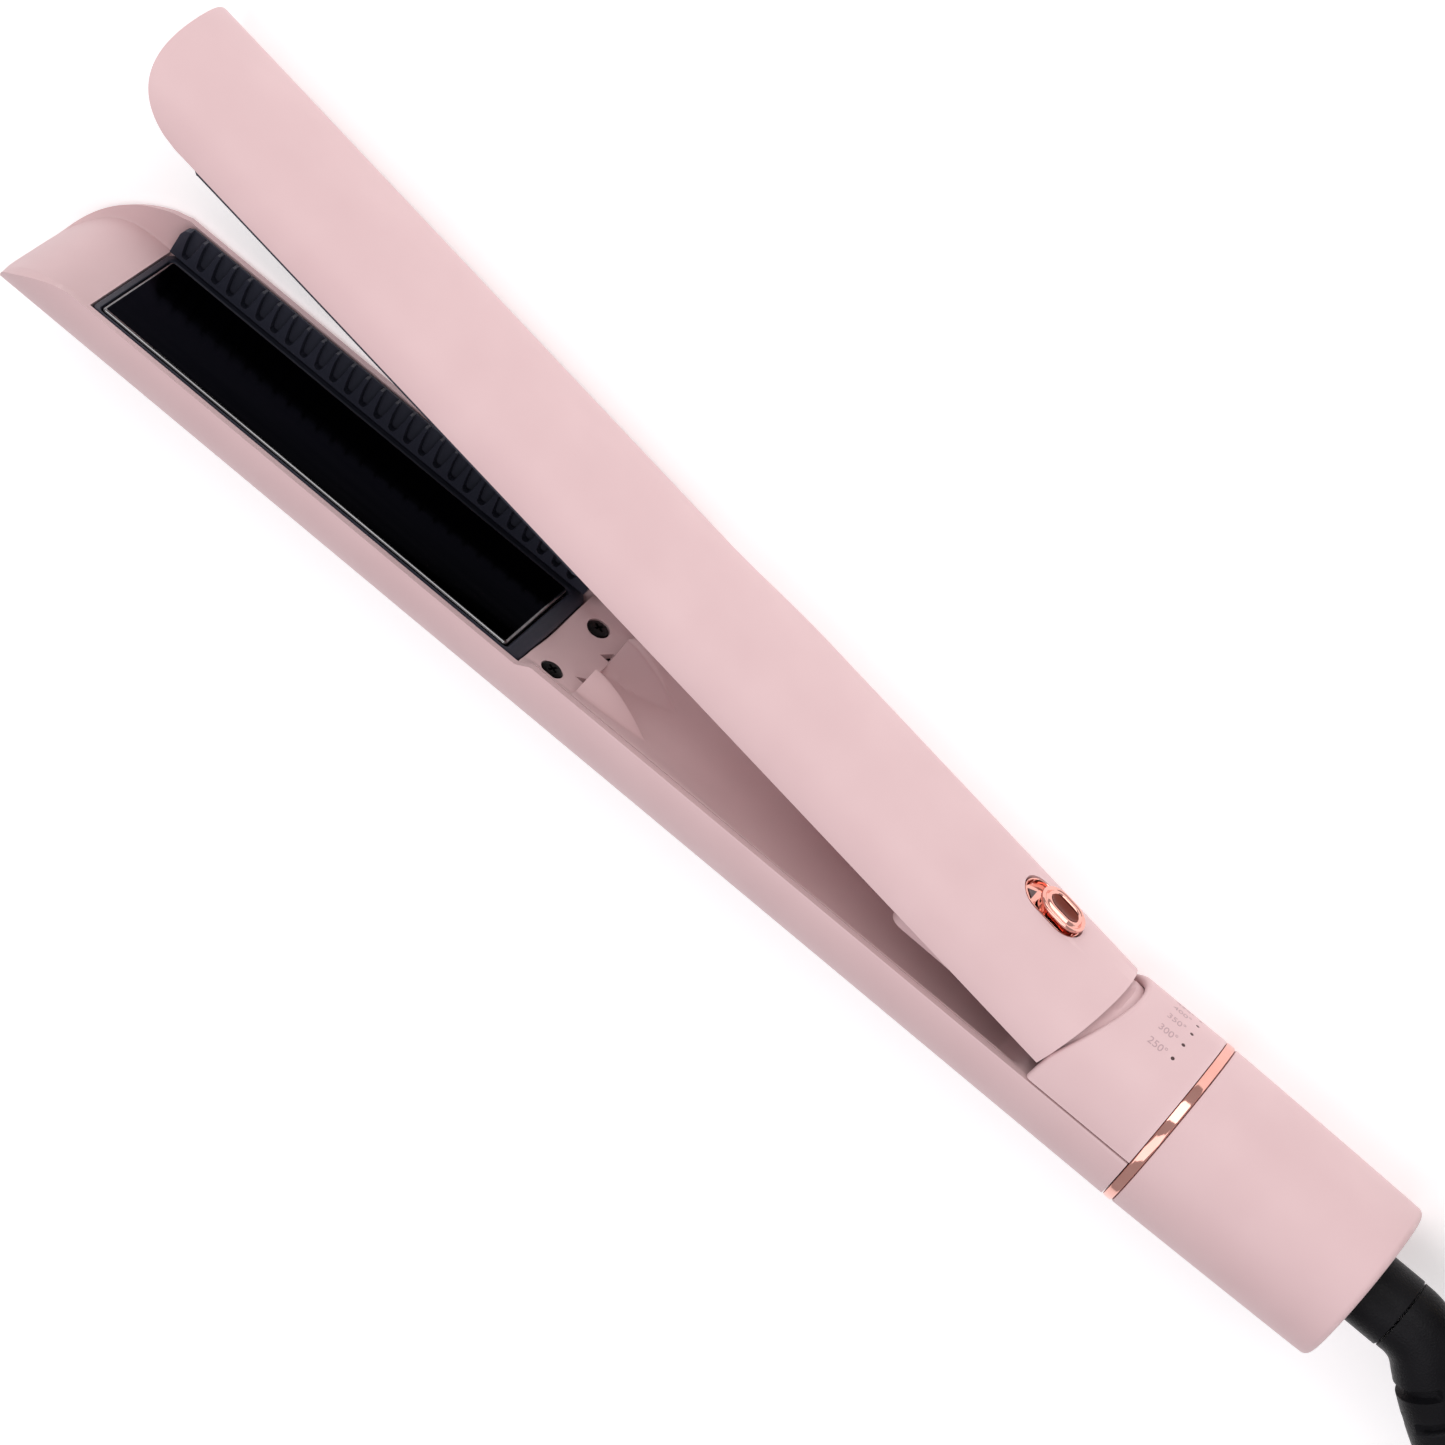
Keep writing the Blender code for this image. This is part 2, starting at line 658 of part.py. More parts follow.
def indicator(root):
    """A curved light pipe under the collar with one pip through each hole."""
    r0, r1 = 13.6, 14.9
    span = math.radians(DOT_STEP_DEG * (DOT_COUNT - 1) / 2 + 6)
    rings = []
    for k in range(13):
        angle = -span + 2 * span * k / 12
        out = Vector((0, math.cos(angle), -math.sin(angle)))
        rings.append([tuple(Vector((DOT_X + dx, 0, 0)) + out * r) for dx, r in
                      ((-1.3, r0), (1.3, r0), (1.3, r1), (-1.3, r1))])
    pipe = loft("indicator_light_pipe", rings, root, "lens")
    for i in range(DOT_COUNT):
        angle = math.radians(DOT_STEP_DEG * (i - (DOT_COUNT - 1) / 2))
        fuse(pipe, spoke("pip", angle, 14.2, BODY_R - 0.1, 0.5, root))
    return pipe


KNUCKLE_EYE_R = 4.4


def knuckle(arm):
    """The upper arm's neck and its two hinge eyes."""
    base_y, wall = UPPER_RIM_Y + 0.3, 1.8

    def section(x, rise, half, edge=0.0):
        outer, inner = [], []
        for k in range(OUTLINE_POINTS):
            t = k / (OUTLINE_POINTS - 1)
            angle = -math.pi / 2 + math.pi * t
            c, s = math.cos(angle), math.sin(angle)
            outer.append((x + edge * c, base_y + rise * c, -half * s))
            inner.append((x + edge * c, base_y + (rise - wall) * c, -(half - wall) * s))
        return outer, inner

    sections = [section(71.0, 10.9, 14.2), section(80.2, 10.9, 14.2, 2.2), section(80.7, 12.0, 14.0, 2.2),
                section(94.0, 12.0, 14.0)]
    neck = skin_loft("hinge_knuckle", sections, arm, "soft_pink")
    for z0, z1 in ((4.8, 8.4), (-8.4, -4.8)):
        outline = [(78.0, 9.6), (78.0, 3.0), (88.0, 1.0)]
        for k in range(15):
            angle = math.radians(205 + 240 * k / 14)
            outline.append((PIVOT_X + KNUCKLE_EYE_R * math.cos(angle), KNUCKLE_EYE_R * math.sin(angle)))
        outline += [(93.5, 9.6)]
        ear = loft("eye", [[(x, y, z) for x, y in outline] for z in (z0, z1)], arm, "soft_pink")
        fuse(neck, ear)
    cut(neck, pin_z("eye_bore", PIVOT_X, 0.0, -10.0, 10.0, 2.4, arm, "soft_pink"))
    return neck


def hinge(root):
    """Steel bracket, pin and opening spring."""
    for name, z0, z1 in (("hinge_bracket_near", 9.2, 10.8), ("hinge_bracket_far", -10.8, -9.2)):
        outline = [(92.0, -10.8), (102.0, -10.8), (102.0, -5.0)]
        for k in range(13):
            angle = math.radians(-20 + 220 * k / 12)
            outline.append((PIVOT_X + 4.0 * math.cos(angle), 4.0 * math.sin(angle)))
        outline += [(92.0, -5.0)]
        ear = loft(name, [[(x, y, z) for x, y in outline] for z in (z0, z1)], root, "steel")
        cut(ear, pin_z(name + "_bore", PIVOT_X, 0.0, z0 - 1, z1 + 1, 2.35, root, "steel"))
    pin_z("hinge_pin", PIVOT_X, 0.0, -12.6, 12.6, 2.0, root, "steel")
    turns, coil_r, wire_r = 4.5, 3.2, 0.45
    points = [(88.0, -6.5, -3.4), (93.0, -5.5, -3.2)]
    steps = 40
    for k in range(steps + 1):
        angle = -math.pi / 2 + 2 * math.pi * turns * k / steps
        points.append((PIVOT_X + coil_r * math.cos(angle), coil_r * math.sin(angle), -2.9 + 5.8 * k / steps))
    points += [(94.0, 4.4, 3.1), (90.0, 5.4, 3.1)]
    wire("hinge_spring", points, wire_r, root, "steel", 1)


def tail(root, dial):
    """Trim ring, dial, its bearing tube and the parts inside."""
    turned_ring("trim_ring", [(102.95, 15.0), (102.95, RING_R - 0.2), (103.2, RING_R), (104.9, RING_R),
                              (105.2, RING_R - 0.2), (105.2, 15.0)], root, "rose_gold", 48)
    turned_ring("tail_tube", [(104.0, 8.8), (104.0, 14.2), (105.8, 14.2), (105.8, 10.0), (141.0, 10.0),
                              (141.0, 8.8)], root, "nylon", 48)
    turned_ring("temperature_encoder", [(110.0, 10.4), (110.0, 13.6), (113.5, 13.6), (113.5, 10.4)], root,
                "board_green", 40)
    box("dial_detent_spring", (118.0, 10.6, -2.0), (127.0, 11.4, 2.0), root, "steel", 0.2)
    turned_ring("swivel_socket", [(141.4, 7.4), (141.4, 12.0), (145.2, 12.0), (145.2, 7.4)], root, "nylon",
                48)
    bore = BARREL_R + 0.4
    edge = 1.6
    profile = [(DIAL_X0, DIAL_R0 - DIAL_WALL), (DIAL_X0, DIAL_R0 - 0.3), (DIAL_X0 + 0.3, DIAL_R0)]
    for k in range(5):
        angle = math.pi / 2 * k / 4
        profile.append((DIAL_X1 - edge + edge * math.sin(angle), DIAL_R1 - edge + edge * math.cos(angle)))
    profile += [(DIAL_X1, bore), (DIAL_X1 - 2.2, bore), (DIAL_X1 - 2.2, DIAL_R1 - DIAL_WALL)]
    turned_ring("temperature_dial", profile, dial, "soft_pink", 56)


def electronics(root, arm):
    box("control_board", (-2.0, -12.6, -8.0), (58.0, -11.2, 8.0), root, "board_green")
    box("board_capacitor", (44.0, -10.8, -5.0), (54.0, -9.9, 5.0), root, "charcoal", 0.3)
    wire("lower_heater_lead", [(-44.0, -12.9, 3.0), (-34.0, -13.2, 3.0), (-20.0, -13.4, 3.0),
                               (-3.2, -12.6, 3.0)], 0.7, root, "wire_red", 1)
    wire("board_supply_lead", [(59.0, -12.2, 2.0), (75.0, -12.6, 3.0), (90.0, -13.0, 4.0),
                               (100.5, -11.5, 3.0)], 0.7, root, "wire_red", 1)
    wire("upper_heater_lead", [(-40.0, 8.6, 3.0), (-20.0, 8.8, 3.0), (20.0, 8.9, 3.0), (60.0, 8.8, 2.0),
                               (78.0, 7.9, 0.0), (92.0, 6.6, 0.0)], 0.7, arm, "wire_red", 1)


def lock(arm, slider, shell):
    """The pill-shaped recess in the upper arm and the button that slides in it."""
    cut(shell, loft("lock_slot", [pill(13.6, 8.6, y) for y in (9.0, 16.0)], arm, "soft_pink"))
    bezel = loft("lock_bezel", [pill(12.9, 7.9, y) for y in (11.3, 13.35)], arm, "rose_gold")
    cut(bezel, loft("lock_pocket", [pill(12.2, 7.2, y) for y in (12.0, 15.0)], arm, "rose_gold"))
    x = LOCK_X + LOCK_TRAVEL / 2
    stem_and_cap = [(8.4, 5.6, 12.4), (8.4, 5.6, 13.7), (9.6, 7.2, 13.9), (9.9, 7.5, 14.3),
                    (9.7, 7.3, 14.75), (9.1, 6.7, 14.95), (8.0, 5.6, 14.75), (6.4, 4.0, 14.45)]
    rings = [pill(length, width, y, x) for length, width, y in stem_and_cap]
    loft("lock_button", rings, slider, "rose_gold")


# ------------------------------------------------------------------ cord end

BOOT_BEND_DEG = 45.0
BOOT_BEND_R = 10.0
BOOT_STRAIGHT = 33.0
BOOT_DROP = 3.5


def boot_path():
    """Centre line of the moulded strain relief: a bend towards -y, then a straight taper."""
    first = Vector((BARREL_X1 + GAP, 0, 0))
    start = first + Vector((1.0, 0, 0))
    points = [first, start]
    for k in range(1, 7):
        angle = math.radians(BOOT_BEND_DEG) * k / 6
        points.append(start + Vector((math.sin(angle), math.cos(angle) - 1, 0)) * BOOT_BEND_R)
    angle = math.radians(BOOT_BEND_DEG)
    corner = points[-1]
    for k in range(1, 6):
        t = k / 5
        run = BOOT_STRAIGHT * t
        points.append(corner + Vector((math.cos(angle) * run, -math.sin(angle) * run, -BOOT_DROP * t * t)))
    return points


def swept(name, path, radii, holder, finish, sides=18):
    rings = []
    for i, point in enumerate(path):
        before, after = path[max(0, i - 1)], path[min(len(path) - 1, i + 1)]
        ahead = (after - before).normalized()
        up = (Vector((0, 0, 1)) - ahead * ahead.z).normalized()
        side = ahead.cross(up)
        rings.append([tuple(point + (up * math.cos(a) + side * math.sin(a)) * radii[i])
                      for a in turn_angles(sides)])
    return loft(name, rings, holder, finish)


def swivel(holder):
    barrel = [(130.0, 6.0), (132.0, 7.0), (132.0, 8.3), (134.5, 8.3), (134.5, BARREL_R),
              (BARREL_X1 - 0.5, BARREL_R), (BARREL_X1, BARREL_R - 0.4)]
    turned("swivel_barrel", barrel, holder, "rubber_black", 32)
    path = boot_path()
    radii = [6.6] * 8 + [6.4, 6.0, 5.5, 5.0, 4.5]
    swept("strain_relief", path, radii, holder, "rubber_black")
    return path[-1]


# Route of the free cord, millimetres in the design frame: from the strain relief to the hank
TABLE_Z = -RING_R
LIE_Z = TABLE_Z + CORD_R + 0.05
CORD_ROUTE = [
    (188.2, -27.1, -3.75),
    (194.0, -32.2, -5.6),
    (201.5, -36.1, -8.1),
    (210.5, -37.9, -10.7),
    (220.5, -37.9, -12.7),
    (231.0, -36.4, LIE_Z),
    (243.0, -32.9, LIE_Z),
    (256.0, -28.1, LIE_Z),
    (269.0, -23.0, LIE_Z),
]
HANK_X0 = 262.75
HANK_X1 = 418.75
HANK_Y = 0.0
HANK_WIDTH = 58.5
HANK_HEIGHT = 20.0
TIE_X = 340.75
TAIL_ROUTE = [
    (273.0, 26.1, LIE_Z),
    (264.0, 26.6, LIE_Z),
    (254.0, 27.6, LIE_Z),
    (244.0, 28.5, LIE_Z),
    (234.0, 29.0, LIE_Z),
    (225.0, 29.0, LIE_Z),
    (216.0, 29.0, LIE_Z),
]


def hank(root):
    """The outer shape of the folded cord: a long loop with round ends."""
    radius = HANK_WIDTH / 2
    outline = []
    for centre_x, start in ((HANK_X1 - radius, -math.pi / 2), (HANK_X0 + radius, math.pi / 2)):
        for k in range(13):
            angle = start + math.pi * k / 12
            outline.append((centre_x + radius * math.cos(angle), HANK_Y + radius * math.sin(angle)))
    low = TABLE_Z + 0.05
    return loft("cord_hank", [[(x, y, z) for x, y in outline] for z in (low, low + HANK_HEIGHT)], root,
                "rubber_black")


def hank_tie(root):
    """A strap round the middle of the hank."""
    low = TABLE_Z + 0.05

    def arch(margin):
        half, top = HANK_WIDTH / 2 + margin, low + HANK_HEIGHT + margin
        return [(HANK_Y - half, low), (HANK_Y - half, top), (HANK_Y + half, top), (HANK_Y + half, low)]

    sections = []
    for x in (TIE_X - 7.0, TIE_X + 7.0):
        sections.append([[(x, y, z) for y, z in arch(margin)] for margin in (1.8, GAP)])
    return skin_loft("hank_tie", sections, root, "rubber_black")


def plug(root):
    """A flat two-blade mains plug lying beside the hank."""
    x_cord = TAIL_ROUTE[-1][0] - GAP
    y = TAIL_ROUTE[-1][1]
    rings = []
    for dx, half_y, half_z in ((0.0, 4.2, 4.0), (9.0, 5.2, 5.2), (15.0, 9.0, 7.4), (19.0, 11.5, 8.2),
                               (38.0, 12.0, 8.5), (40.0, 11.0, 7.6)):
        ring = []
        centre_z = TABLE_Z + 0.1 + max(half_z, CORD_R)
        for k in range(20):
            angle = 2 * math.pi * k / 20
            c, s = math.cos(angle), math.sin(angle)
            ring.append((x_cord - dx, y + half_y * math.copysign(abs(c) ** 0.6, c),
                         centre_z + half_z * math.copysign(abs(s) ** 0.6, s)))
        rings.append(ring)
    body = loft("plug_body", rings, root, "rubber_black")
    blade_z = TABLE_Z + 8.6
    x0, x1 = x_cord - 57.0, x_cord - 40.0 - GAP
    for name, dy in (("plug_blade_near", -6.35), ("plug_blade_far", 6.35)):
        low, high = (x0, y + dy - 0.75, blade_z - 3.2), (x1, y + dy + 0.75, blade_z + 3.2)
        box(name, low, high, root, "brass", 0.25)
    return body


# ------------------------------------------------------------------ assembly

def build():
    clear_scene()
    root = pivot_empty("body_frame", 0, 0, 0)
    arm = pivot_empty("upper_arm_axis", PIVOT_X, 0, 0, -math.radians(OPEN_DEG))
    plate_x = (PLATE_X0 + PLATE_X1) / 2
    lower_float = pivot_empty("lower_plate_float", plate_x, LOWER_FACE_Y, 0)
    upper_float = pivot_empty("upper_plate_float", plate_x, UPPER_FACE_Y, 0, 0.0, arm)
    slider = pivot_empty("lock_axis", LOCK_X + LOCK_TRAVEL / 2, UPPER_RIM_Y + UPPER_RISE_HANDLE, 0, 0.0, arm)
    dial = pivot_empty("dial_axis", DIAL_X0, 0, 0)
    cord_swivel = pivot_empty("swivel_axis", BARREL_X1, 0, 0)

    arm_shell("lower_shell", -1, root)
    shell = arm_shell("upper_shell", 1, arm)
    covers(root, arm)
    plates(root, arm, lower_float, upper_float)
    collar(root)
    indicator(root)
    knuckle(arm)
    hinge(root)
    tail(root, dial)
    electronics(root, arm)
    lock(arm, slider, shell)
    swivel(cord_swivel)
    wire("cord_lead", smooth_route(CORD_ROUTE, 13.0), CORD_R, root, "rubber_black")
    hank(root)
    hank_tie(root)
    wire("cord_tail", smooth_route(TAIL_ROUTE, 13.0), CORD_R, root, "rubber_black")
    plug(root)


build()
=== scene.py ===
"""Looks of an open flat iron lying on its side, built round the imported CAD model.

Pieces are drawn in the CAD's design frame, in millimetres: x from the tips to the dial, y from the
lower arm to the upper arm, z across the plates. The upper arm is drawn closed and turned open.
"""
from math import acos, asin, copysign, cos, pi, radians, sin, sqrt

import bmesh
import bpy
from mathutils import Matrix, Vector


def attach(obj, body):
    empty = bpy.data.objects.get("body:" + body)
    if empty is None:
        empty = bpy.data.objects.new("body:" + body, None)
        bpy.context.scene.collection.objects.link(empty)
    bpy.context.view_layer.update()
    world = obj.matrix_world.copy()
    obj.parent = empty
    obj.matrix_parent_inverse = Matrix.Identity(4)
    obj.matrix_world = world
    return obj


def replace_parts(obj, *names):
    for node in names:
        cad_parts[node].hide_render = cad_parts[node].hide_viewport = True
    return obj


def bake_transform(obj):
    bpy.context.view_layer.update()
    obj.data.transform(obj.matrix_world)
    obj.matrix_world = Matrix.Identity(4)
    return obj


MM = 0.001
ORIGIN = Vector((-3.075, -15.784, 17.1))   # the design frame's origin in the row frame

# Sizes shared with the CAD, millimetres
BODY_R = 17.0
WALL = 1.4
GAP = 0.35
TIP_X = -149.5
FRAME_X0, FRAME_X1 = -131.0, -33.6
PLATE_X0, PLATE_X1 = -128.9, -36.9
PLATE_Z0, PLATE_Z1 = -11.6, 13.9
LOWER_FACE_Y = -2.3
UPPER_FACE_Y = -2.1
DECK_X1 = -22.5
SCREW_X, SCREW_R, SCREW_HOLE_R = -28.3, 2.08, 2.25
ARM_END_X = 79.6
PIVOT_X = 99.0
OPEN_DEG = 8.4
UPPER_HALF_Z = 16.9
UPPER_RIM_Y = 0.5
REAR_RIM_Y = -0.8
UPPER_RISE_PLATE, UPPER_RISE_HANDLE = 12.0, 13.2
COMB_Z0, COMB_Z1 = -14.7, -12.6
DIAL_X0, DIAL_X1 = 105.6, 148.1
DIAL_R0, DIAL_R1 = 16.9, 16.1
BARREL_R, BARREL_X1 = 7.0, 155.65
RING_R = 17.1
LOCK_X, LOCK_Z, LOCK_TRAVEL = 62.7, -0.6, 3.0
DOT_X, DOT_R, DOT_COUNT, DOT_STEP_DEG = 97.3, 0.38, 5, 12.5
CORD_R = 3.25
TABLE_Z = -RING_R

SHARP_DEG = 32.0         # edges sharper than this aren't shaded smooth

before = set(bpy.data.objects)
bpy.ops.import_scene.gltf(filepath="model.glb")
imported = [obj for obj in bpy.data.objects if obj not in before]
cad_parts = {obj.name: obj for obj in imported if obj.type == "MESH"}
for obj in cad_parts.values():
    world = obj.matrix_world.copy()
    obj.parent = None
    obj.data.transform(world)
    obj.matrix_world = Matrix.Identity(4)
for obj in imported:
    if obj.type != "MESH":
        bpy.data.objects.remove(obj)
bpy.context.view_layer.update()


# --- mesh helpers

ARM_BODIES = ("upper_arm", "upper_plate", "lock")
TO_OPEN = (Matrix.Translation((PIVOT_X, 0, 0)) @ Matrix.Rotation(-radians(OPEN_DEG), 4, "Z")
           @ Matrix.Translation((-PIVOT_X, 0, 0)))


def at(point, body="body"):
    """Design millimetres to row frame metres; what rides on the upper arm is turned open."""
    point = Vector(point)
    return (ORIGIN + (TO_OPEN @ point if body in ARM_BODIES else point)) * MM


def ramp(value, start, end, low=0.0, high=1.0):
    """Smooth step from low at start to high at end."""
    t = min(1.0, max(0.0, (value - start) / (end - start)))
    return low + (high - low) * t * t * (3 - 2 * t)


def soft_max(a, b, blend):
    """The larger of two heights, rounded where they cross."""
    h = min(1.0, max(0.0, 0.5 + 0.5 * (a - b) / blend))
    return b + (a - b) * h + blend * h * (1 - h)


def spaced(start, end, count):
    return [start + (end - start) * k / (count - 1) for k in range(count)]


def turn_angles(sides):
    return [2 * pi * k / sides for k in range(sides)]


def ring_y(x, y, z, radius, sides):
    """Points round a circle about an axis along y."""
    return [(x + radius * cos(a), y, z + radius * sin(a)) for a in turn_angles(sides)]


def new_object(name, data):
    obj = bpy.data.objects.new(name, data)
    bpy.context.collection.objects.link(obj)
    return obj


def final_mesh(obj):
    """An object's mesh as its modifiers or bevel leave it."""
    bpy.context.view_layer.update()
    view = bpy.context.evaluated_depsgraph_get()
    return bpy.data.meshes.new_from_object(obj.evaluated_get(view), depsgraph=view)


def piece(name, verts, faces, body, finish, sharp=SHARP_DEG):
    """A mesh from design millimetres that rides on its CAD body."""
    mesh = bpy.data.meshes.new(name)
    mesh.from_pydata([at(v, body) for v in verts], [], faces)
    bm = bmesh.new()
    bm.from_mesh(mesh)
    bmesh.ops.recalc_face_normals(bm, faces=bm.faces)
    bm.to_mesh(mesh)
    bm.free()
    mesh.shade_smooth()
    mesh.set_sharp_from_angle(angle=radians(sharp))
    mesh.materials.append(material(finish))
    obj = new_object(name, mesh)
    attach(obj, body)
    return obj


def strip_faces(a, b, count):
    """Quads between two closed rows of points that start at a and b."""
    return [(a + k, a + (k + 1) % count, b + (k + 1) % count, b + k) for k in range(count)]


def loft(name, rings, body, finish, looped=False, sharp=SHARP_DEG):
    """A skin through closed rings: capped at both ends, or looped back from the last to the first."""
    count = len(rings[0])
    verts = [point for ring in rings for point in ring]
    faces = []
    for i in range(len(rings) - 1):
        faces += strip_faces(i * count, (i + 1) * count, count)
    if looped:
        faces += strip_faces((len(rings) - 1) * count, 0, count)
    else:
        faces += [tuple(range(count)), tuple(range(len(verts) - count, len(verts)))]
    return piece(name, verts, faces, body, finish, sharp)


def skin_loft(name, sections, body, finish, sharp=SHARP_DEG):
    """A thick shell: each section is (outer points, inner points), joined by quads at both ends."""
    rings = [list(outer) + list(reversed(inner)) for outer, inner in sections]
    count = len(rings[0])
    verts = [point for ring in rings for point in ring]
    faces = []
    for i in range(len(rings) - 1):
        faces += strip_faces(i * count, (i + 1) * count, count)
    for start in (0, len(verts) - count):
        for k in range(count // 2 - 1):
            faces.append((start + k, start + k + 1, start + count - 2 - k, start + count - 1 - k))
    return piece(name, verts, faces, body, finish, sharp)


def turned(name, profile, body, finish, sides=128, looped=False, sharp=SHARP_DEG):
    """A solid of revolution about x through (x, radius) points, or a ring where it's looped."""
    rings = [[(x, r * sin(a), r * cos(a)) for a in turn_angles(sides)] for x, r in profile]
    return loft(name, rings, body, finish, looped, sharp)


def round_edges(obj, width, segments=3):
    modifier = obj.modifiers.new("round_edges", "BEVEL")
    modifier.width = width * MM
    modifier.segments = segments
    modifier.limit_method = "ANGLE"
    modifier.angle_limit = radians(35.0)
    modifier.harden_normals = True


def combine(obj, operation, *tools):
    """Cut or join tools with a boolean, applied at once."""
    for tool in tools:
        modifier = obj.modifiers.new(operation.lower(), "BOOLEAN")
        modifier.operation = operation
        modifier.solver = "EXACT"
        modifier.object = tool
    result = final_mesh(obj)
    obj.modifiers.clear()
    obj.data = result
    for tool in tools:
        bpy.data.objects.remove(tool)
    result.shade_smooth()
    result.set_sharp_from_angle(angle=radians(SHARP_DEG))


def join(first, other):
    """Two lumps made into one piece."""
    bm = bmesh.new()
    bm.from_mesh(first.data)
    bm.from_mesh(other.data)
    bpy.data.objects.remove(other)
    bm.to_mesh(first.data)
    bm.free()
    first.data.set_sharp_from_angle(angle=radians(SHARP_DEG))


def pill(length, width, y, x=LOCK_X, steps=14):
    """A stadium outline in the plane y, long side along x."""
    radius = width / 2
    reach = length / 2 - radius
    ring = []
    for side in (1, -1):
        for angle in spaced(-pi / 2, pi / 2, steps + 1):
            ring.append((x + side * (reach + radius * cos(angle)), y,
                         LOCK_Z + side * radius * sin(angle)))
    return ring


def rounded_box_outline(x0, x1, z0, z1, radius, steps=6):
    """A rectangle in the x-z plane with rounded corners."""
    corners = [(x1 - radius, z1 - radius, 0), (x0 + radius, z1 - radius, 90),
               (x0 + radius, z0 + radius, 180), (x1 - radius, z0 + radius, 270)]
    outline = []
    for cx, cz, start in corners:
        for k in range(steps + 1):
            angle = radians(start + 90 * k / steps)
            outline.append((cx + radius * cos(angle), cz + radius * sin(angle)))
    return outline


# --- materials

made_materials = {}


class Finish:
    """A node material in the making; texture lengths are in millimetres of the object."""

    def __init__(self, name):
        self.material = bpy.data.materials.new(name)
        self.material.use_nodes = True
        self.nodes = self.material.node_tree.nodes
        self.links = self.material.node_tree.links
        self.shader = self.nodes["Principled BSDF"]
        place = self.node("TexCoord").outputs["Object"]
        self.position = self.node("Mapping", place, Scale=(1 / MM, 1 / MM, 1 / MM)).outputs["Vector"]

    def node(self, kind, vector=None, **values):
        """A new node, fed by vector, with inputs set by name; an underscore stands for a space."""
        node = self.nodes.new("ShaderNode" + kind)
        if vector:
            self.links.new(vector, node.inputs["Vector"])
        return self.fill(node, **values)

    def fill(self, node, **values):
        for key, value in values.items():
            node.inputs[key.replace("_", " ")].default_value = value
        return node

    def set(self, **values):
        self.fill(self.shader, **values)

    def noise(self, size, detail=3.0, stretch=(1, 1, 1)):
        """Noise whose features are about size millimetres across."""
        vector = self.position
        if stretch != (1, 1, 1):
            vector = self.node("Mapping", vector, Scale=stretch).outputs["Vector"]
        return self.node("TexNoise", vector, Scale=1.0 / size, Detail=detail).outputs["Fac"]

    def span(self, value, low, high, start=0.3, end=0.7):
        """A value's range from start to end, stretched to low..high."""
        node = self.node("MapRange", From_Min=start, From_Max=end, To_Min=low, To_Max=high)
        self.links.new(value, node.inputs["Value"])
        return node.outputs["Result"]

    def math(self, operation, a, b):
        node = self.node("Math")
        node.operation = operation
        for socket, value in zip(node.inputs, (a, b)):
            if isinstance(value, (int, float)):
                socket.default_value = value
            else:
                self.links.new(value, socket)
        return node.outputs[0]

    def mix(self, factor, colour_a, colour_b):
        """Two colours, each a tuple or a socket, mixed by a socket."""
        node = self.node("Mix")
        node.data_type = "RGBA"
        self.links.new(factor, node.inputs["Factor"])
        for key, colour in (("A", colour_a), ("B", colour_b)):
            socket = [s for s in node.inputs if s.name == key and s.type == "RGBA"][0]
            if isinstance(colour, tuple):
                socket.default_value = (*colour, 1.0)
            else:
                self.links.new(colour, socket)
        return [s for s in node.outputs if s.type == "RGBA"][0]

    def edges(self, start=0.52, end=0.62):
        """0 on flat faces, rising to 1 on outward edges, where handling polishes the surface."""
        return self.span(self.node("NewGeometry").outputs["Pointiness"], 0.0, 1.0, start, end)

    def colour(self, socket):
        self.links.new(socket, self.shader.inputs["Base Color"])

    def roughness(self, socket):
        self.links.new(socket, self.shader.inputs["Roughness"])

    def bump(self, height, depth):
        node = self.node("Bump", Strength=1.0, Distance=depth * MM)
        self.links.new(height, node.inputs["Height"])
        self.links.new(node.outputs["Normal"], self.shader.inputs["Normal"])


def moulded(finish, colour, darker, lighter, rough, grain, depth):
    """Moulded or coated plastic: slight mottling, fine grain, edges rubbed a little smoother."""
    mottle = finish.span(finish.noise(14.0, 2.0), 0.0, 1.0)
    base = finish.mix(mottle, colour, darker)
    speck = finish.span(finish.noise(grain, 4.0), 0.0, 0.16)
    base = finish.mix(speck, base, darker)
    worn = finish.edges()
    finish.colour(finish.mix(finish.math("MULTIPLY", worn, 0.5), base, lighter))
    grainy = finish.noise(grain, 5.0)
    spread = finish.span(grainy, rough - 0.05, rough + 0.07)
    finish.roughness(finish.math("SUBTRACT", spread, finish.math("MULTIPLY", worn, 0.08)))
    finish.bump(grainy, depth)


def metal(finish, colour, darker, rough, stretch=(1, 1, 1)):
    """Plated or bare metal with fine brushing and faint tarnish."""
    tarnish = finish.span(finish.noise(6.0, 3.0), 0.0, 1.0)
    finish.colour(finish.mix(tarnish, colour, darker))
    brushed = finish.noise(0.5, 4.0, stretch)
    finish.roughness(finish.span(brushed, rough * 0.8, rough * 1.4))
    finish.bump(brushed, 0.002)
    finish.set(Metallic=1.0)


def soft_pink(f):
    moulded(f, (0.715, 0.512, 0.520), (0.685, 0.482, 0.492), (0.770, 0.565, 0.570), 0.52, 0.16, 0.006)
    f.set(Sheen_Weight=0.12, Sheen_Roughness=0.5, Sheen_Tint=(1.0, 0.86, 0.86, 1.0))


def charcoal(f):
    moulded(f, (0.026, 0.028, 0.044), (0.017, 0.019, 0.031), (0.085, 0.090, 0.120), 0.42, 0.22, 0.010)
    f.set(Specular_IOR_Level=0.24)


def plate_black(f):
    """Polished coated plate, with faint lengthwise polishing marks."""
    marks = f.noise(1.2, 5.0, (0.04, 1.0, 1.0))
    f.colour(f.mix(f.span(marks, 0.0, 1.0), (0.0012, 0.0012, 0.0016), (0.0030, 0.0029, 0.0036)))
    f.roughness(f.span(marks, 0.12, 0.20))
    f.bump(marks, 0.0005)
    f.set(Metallic=1.0, Specular_Tint=(0.55, 0.55, 0.58, 1.0))


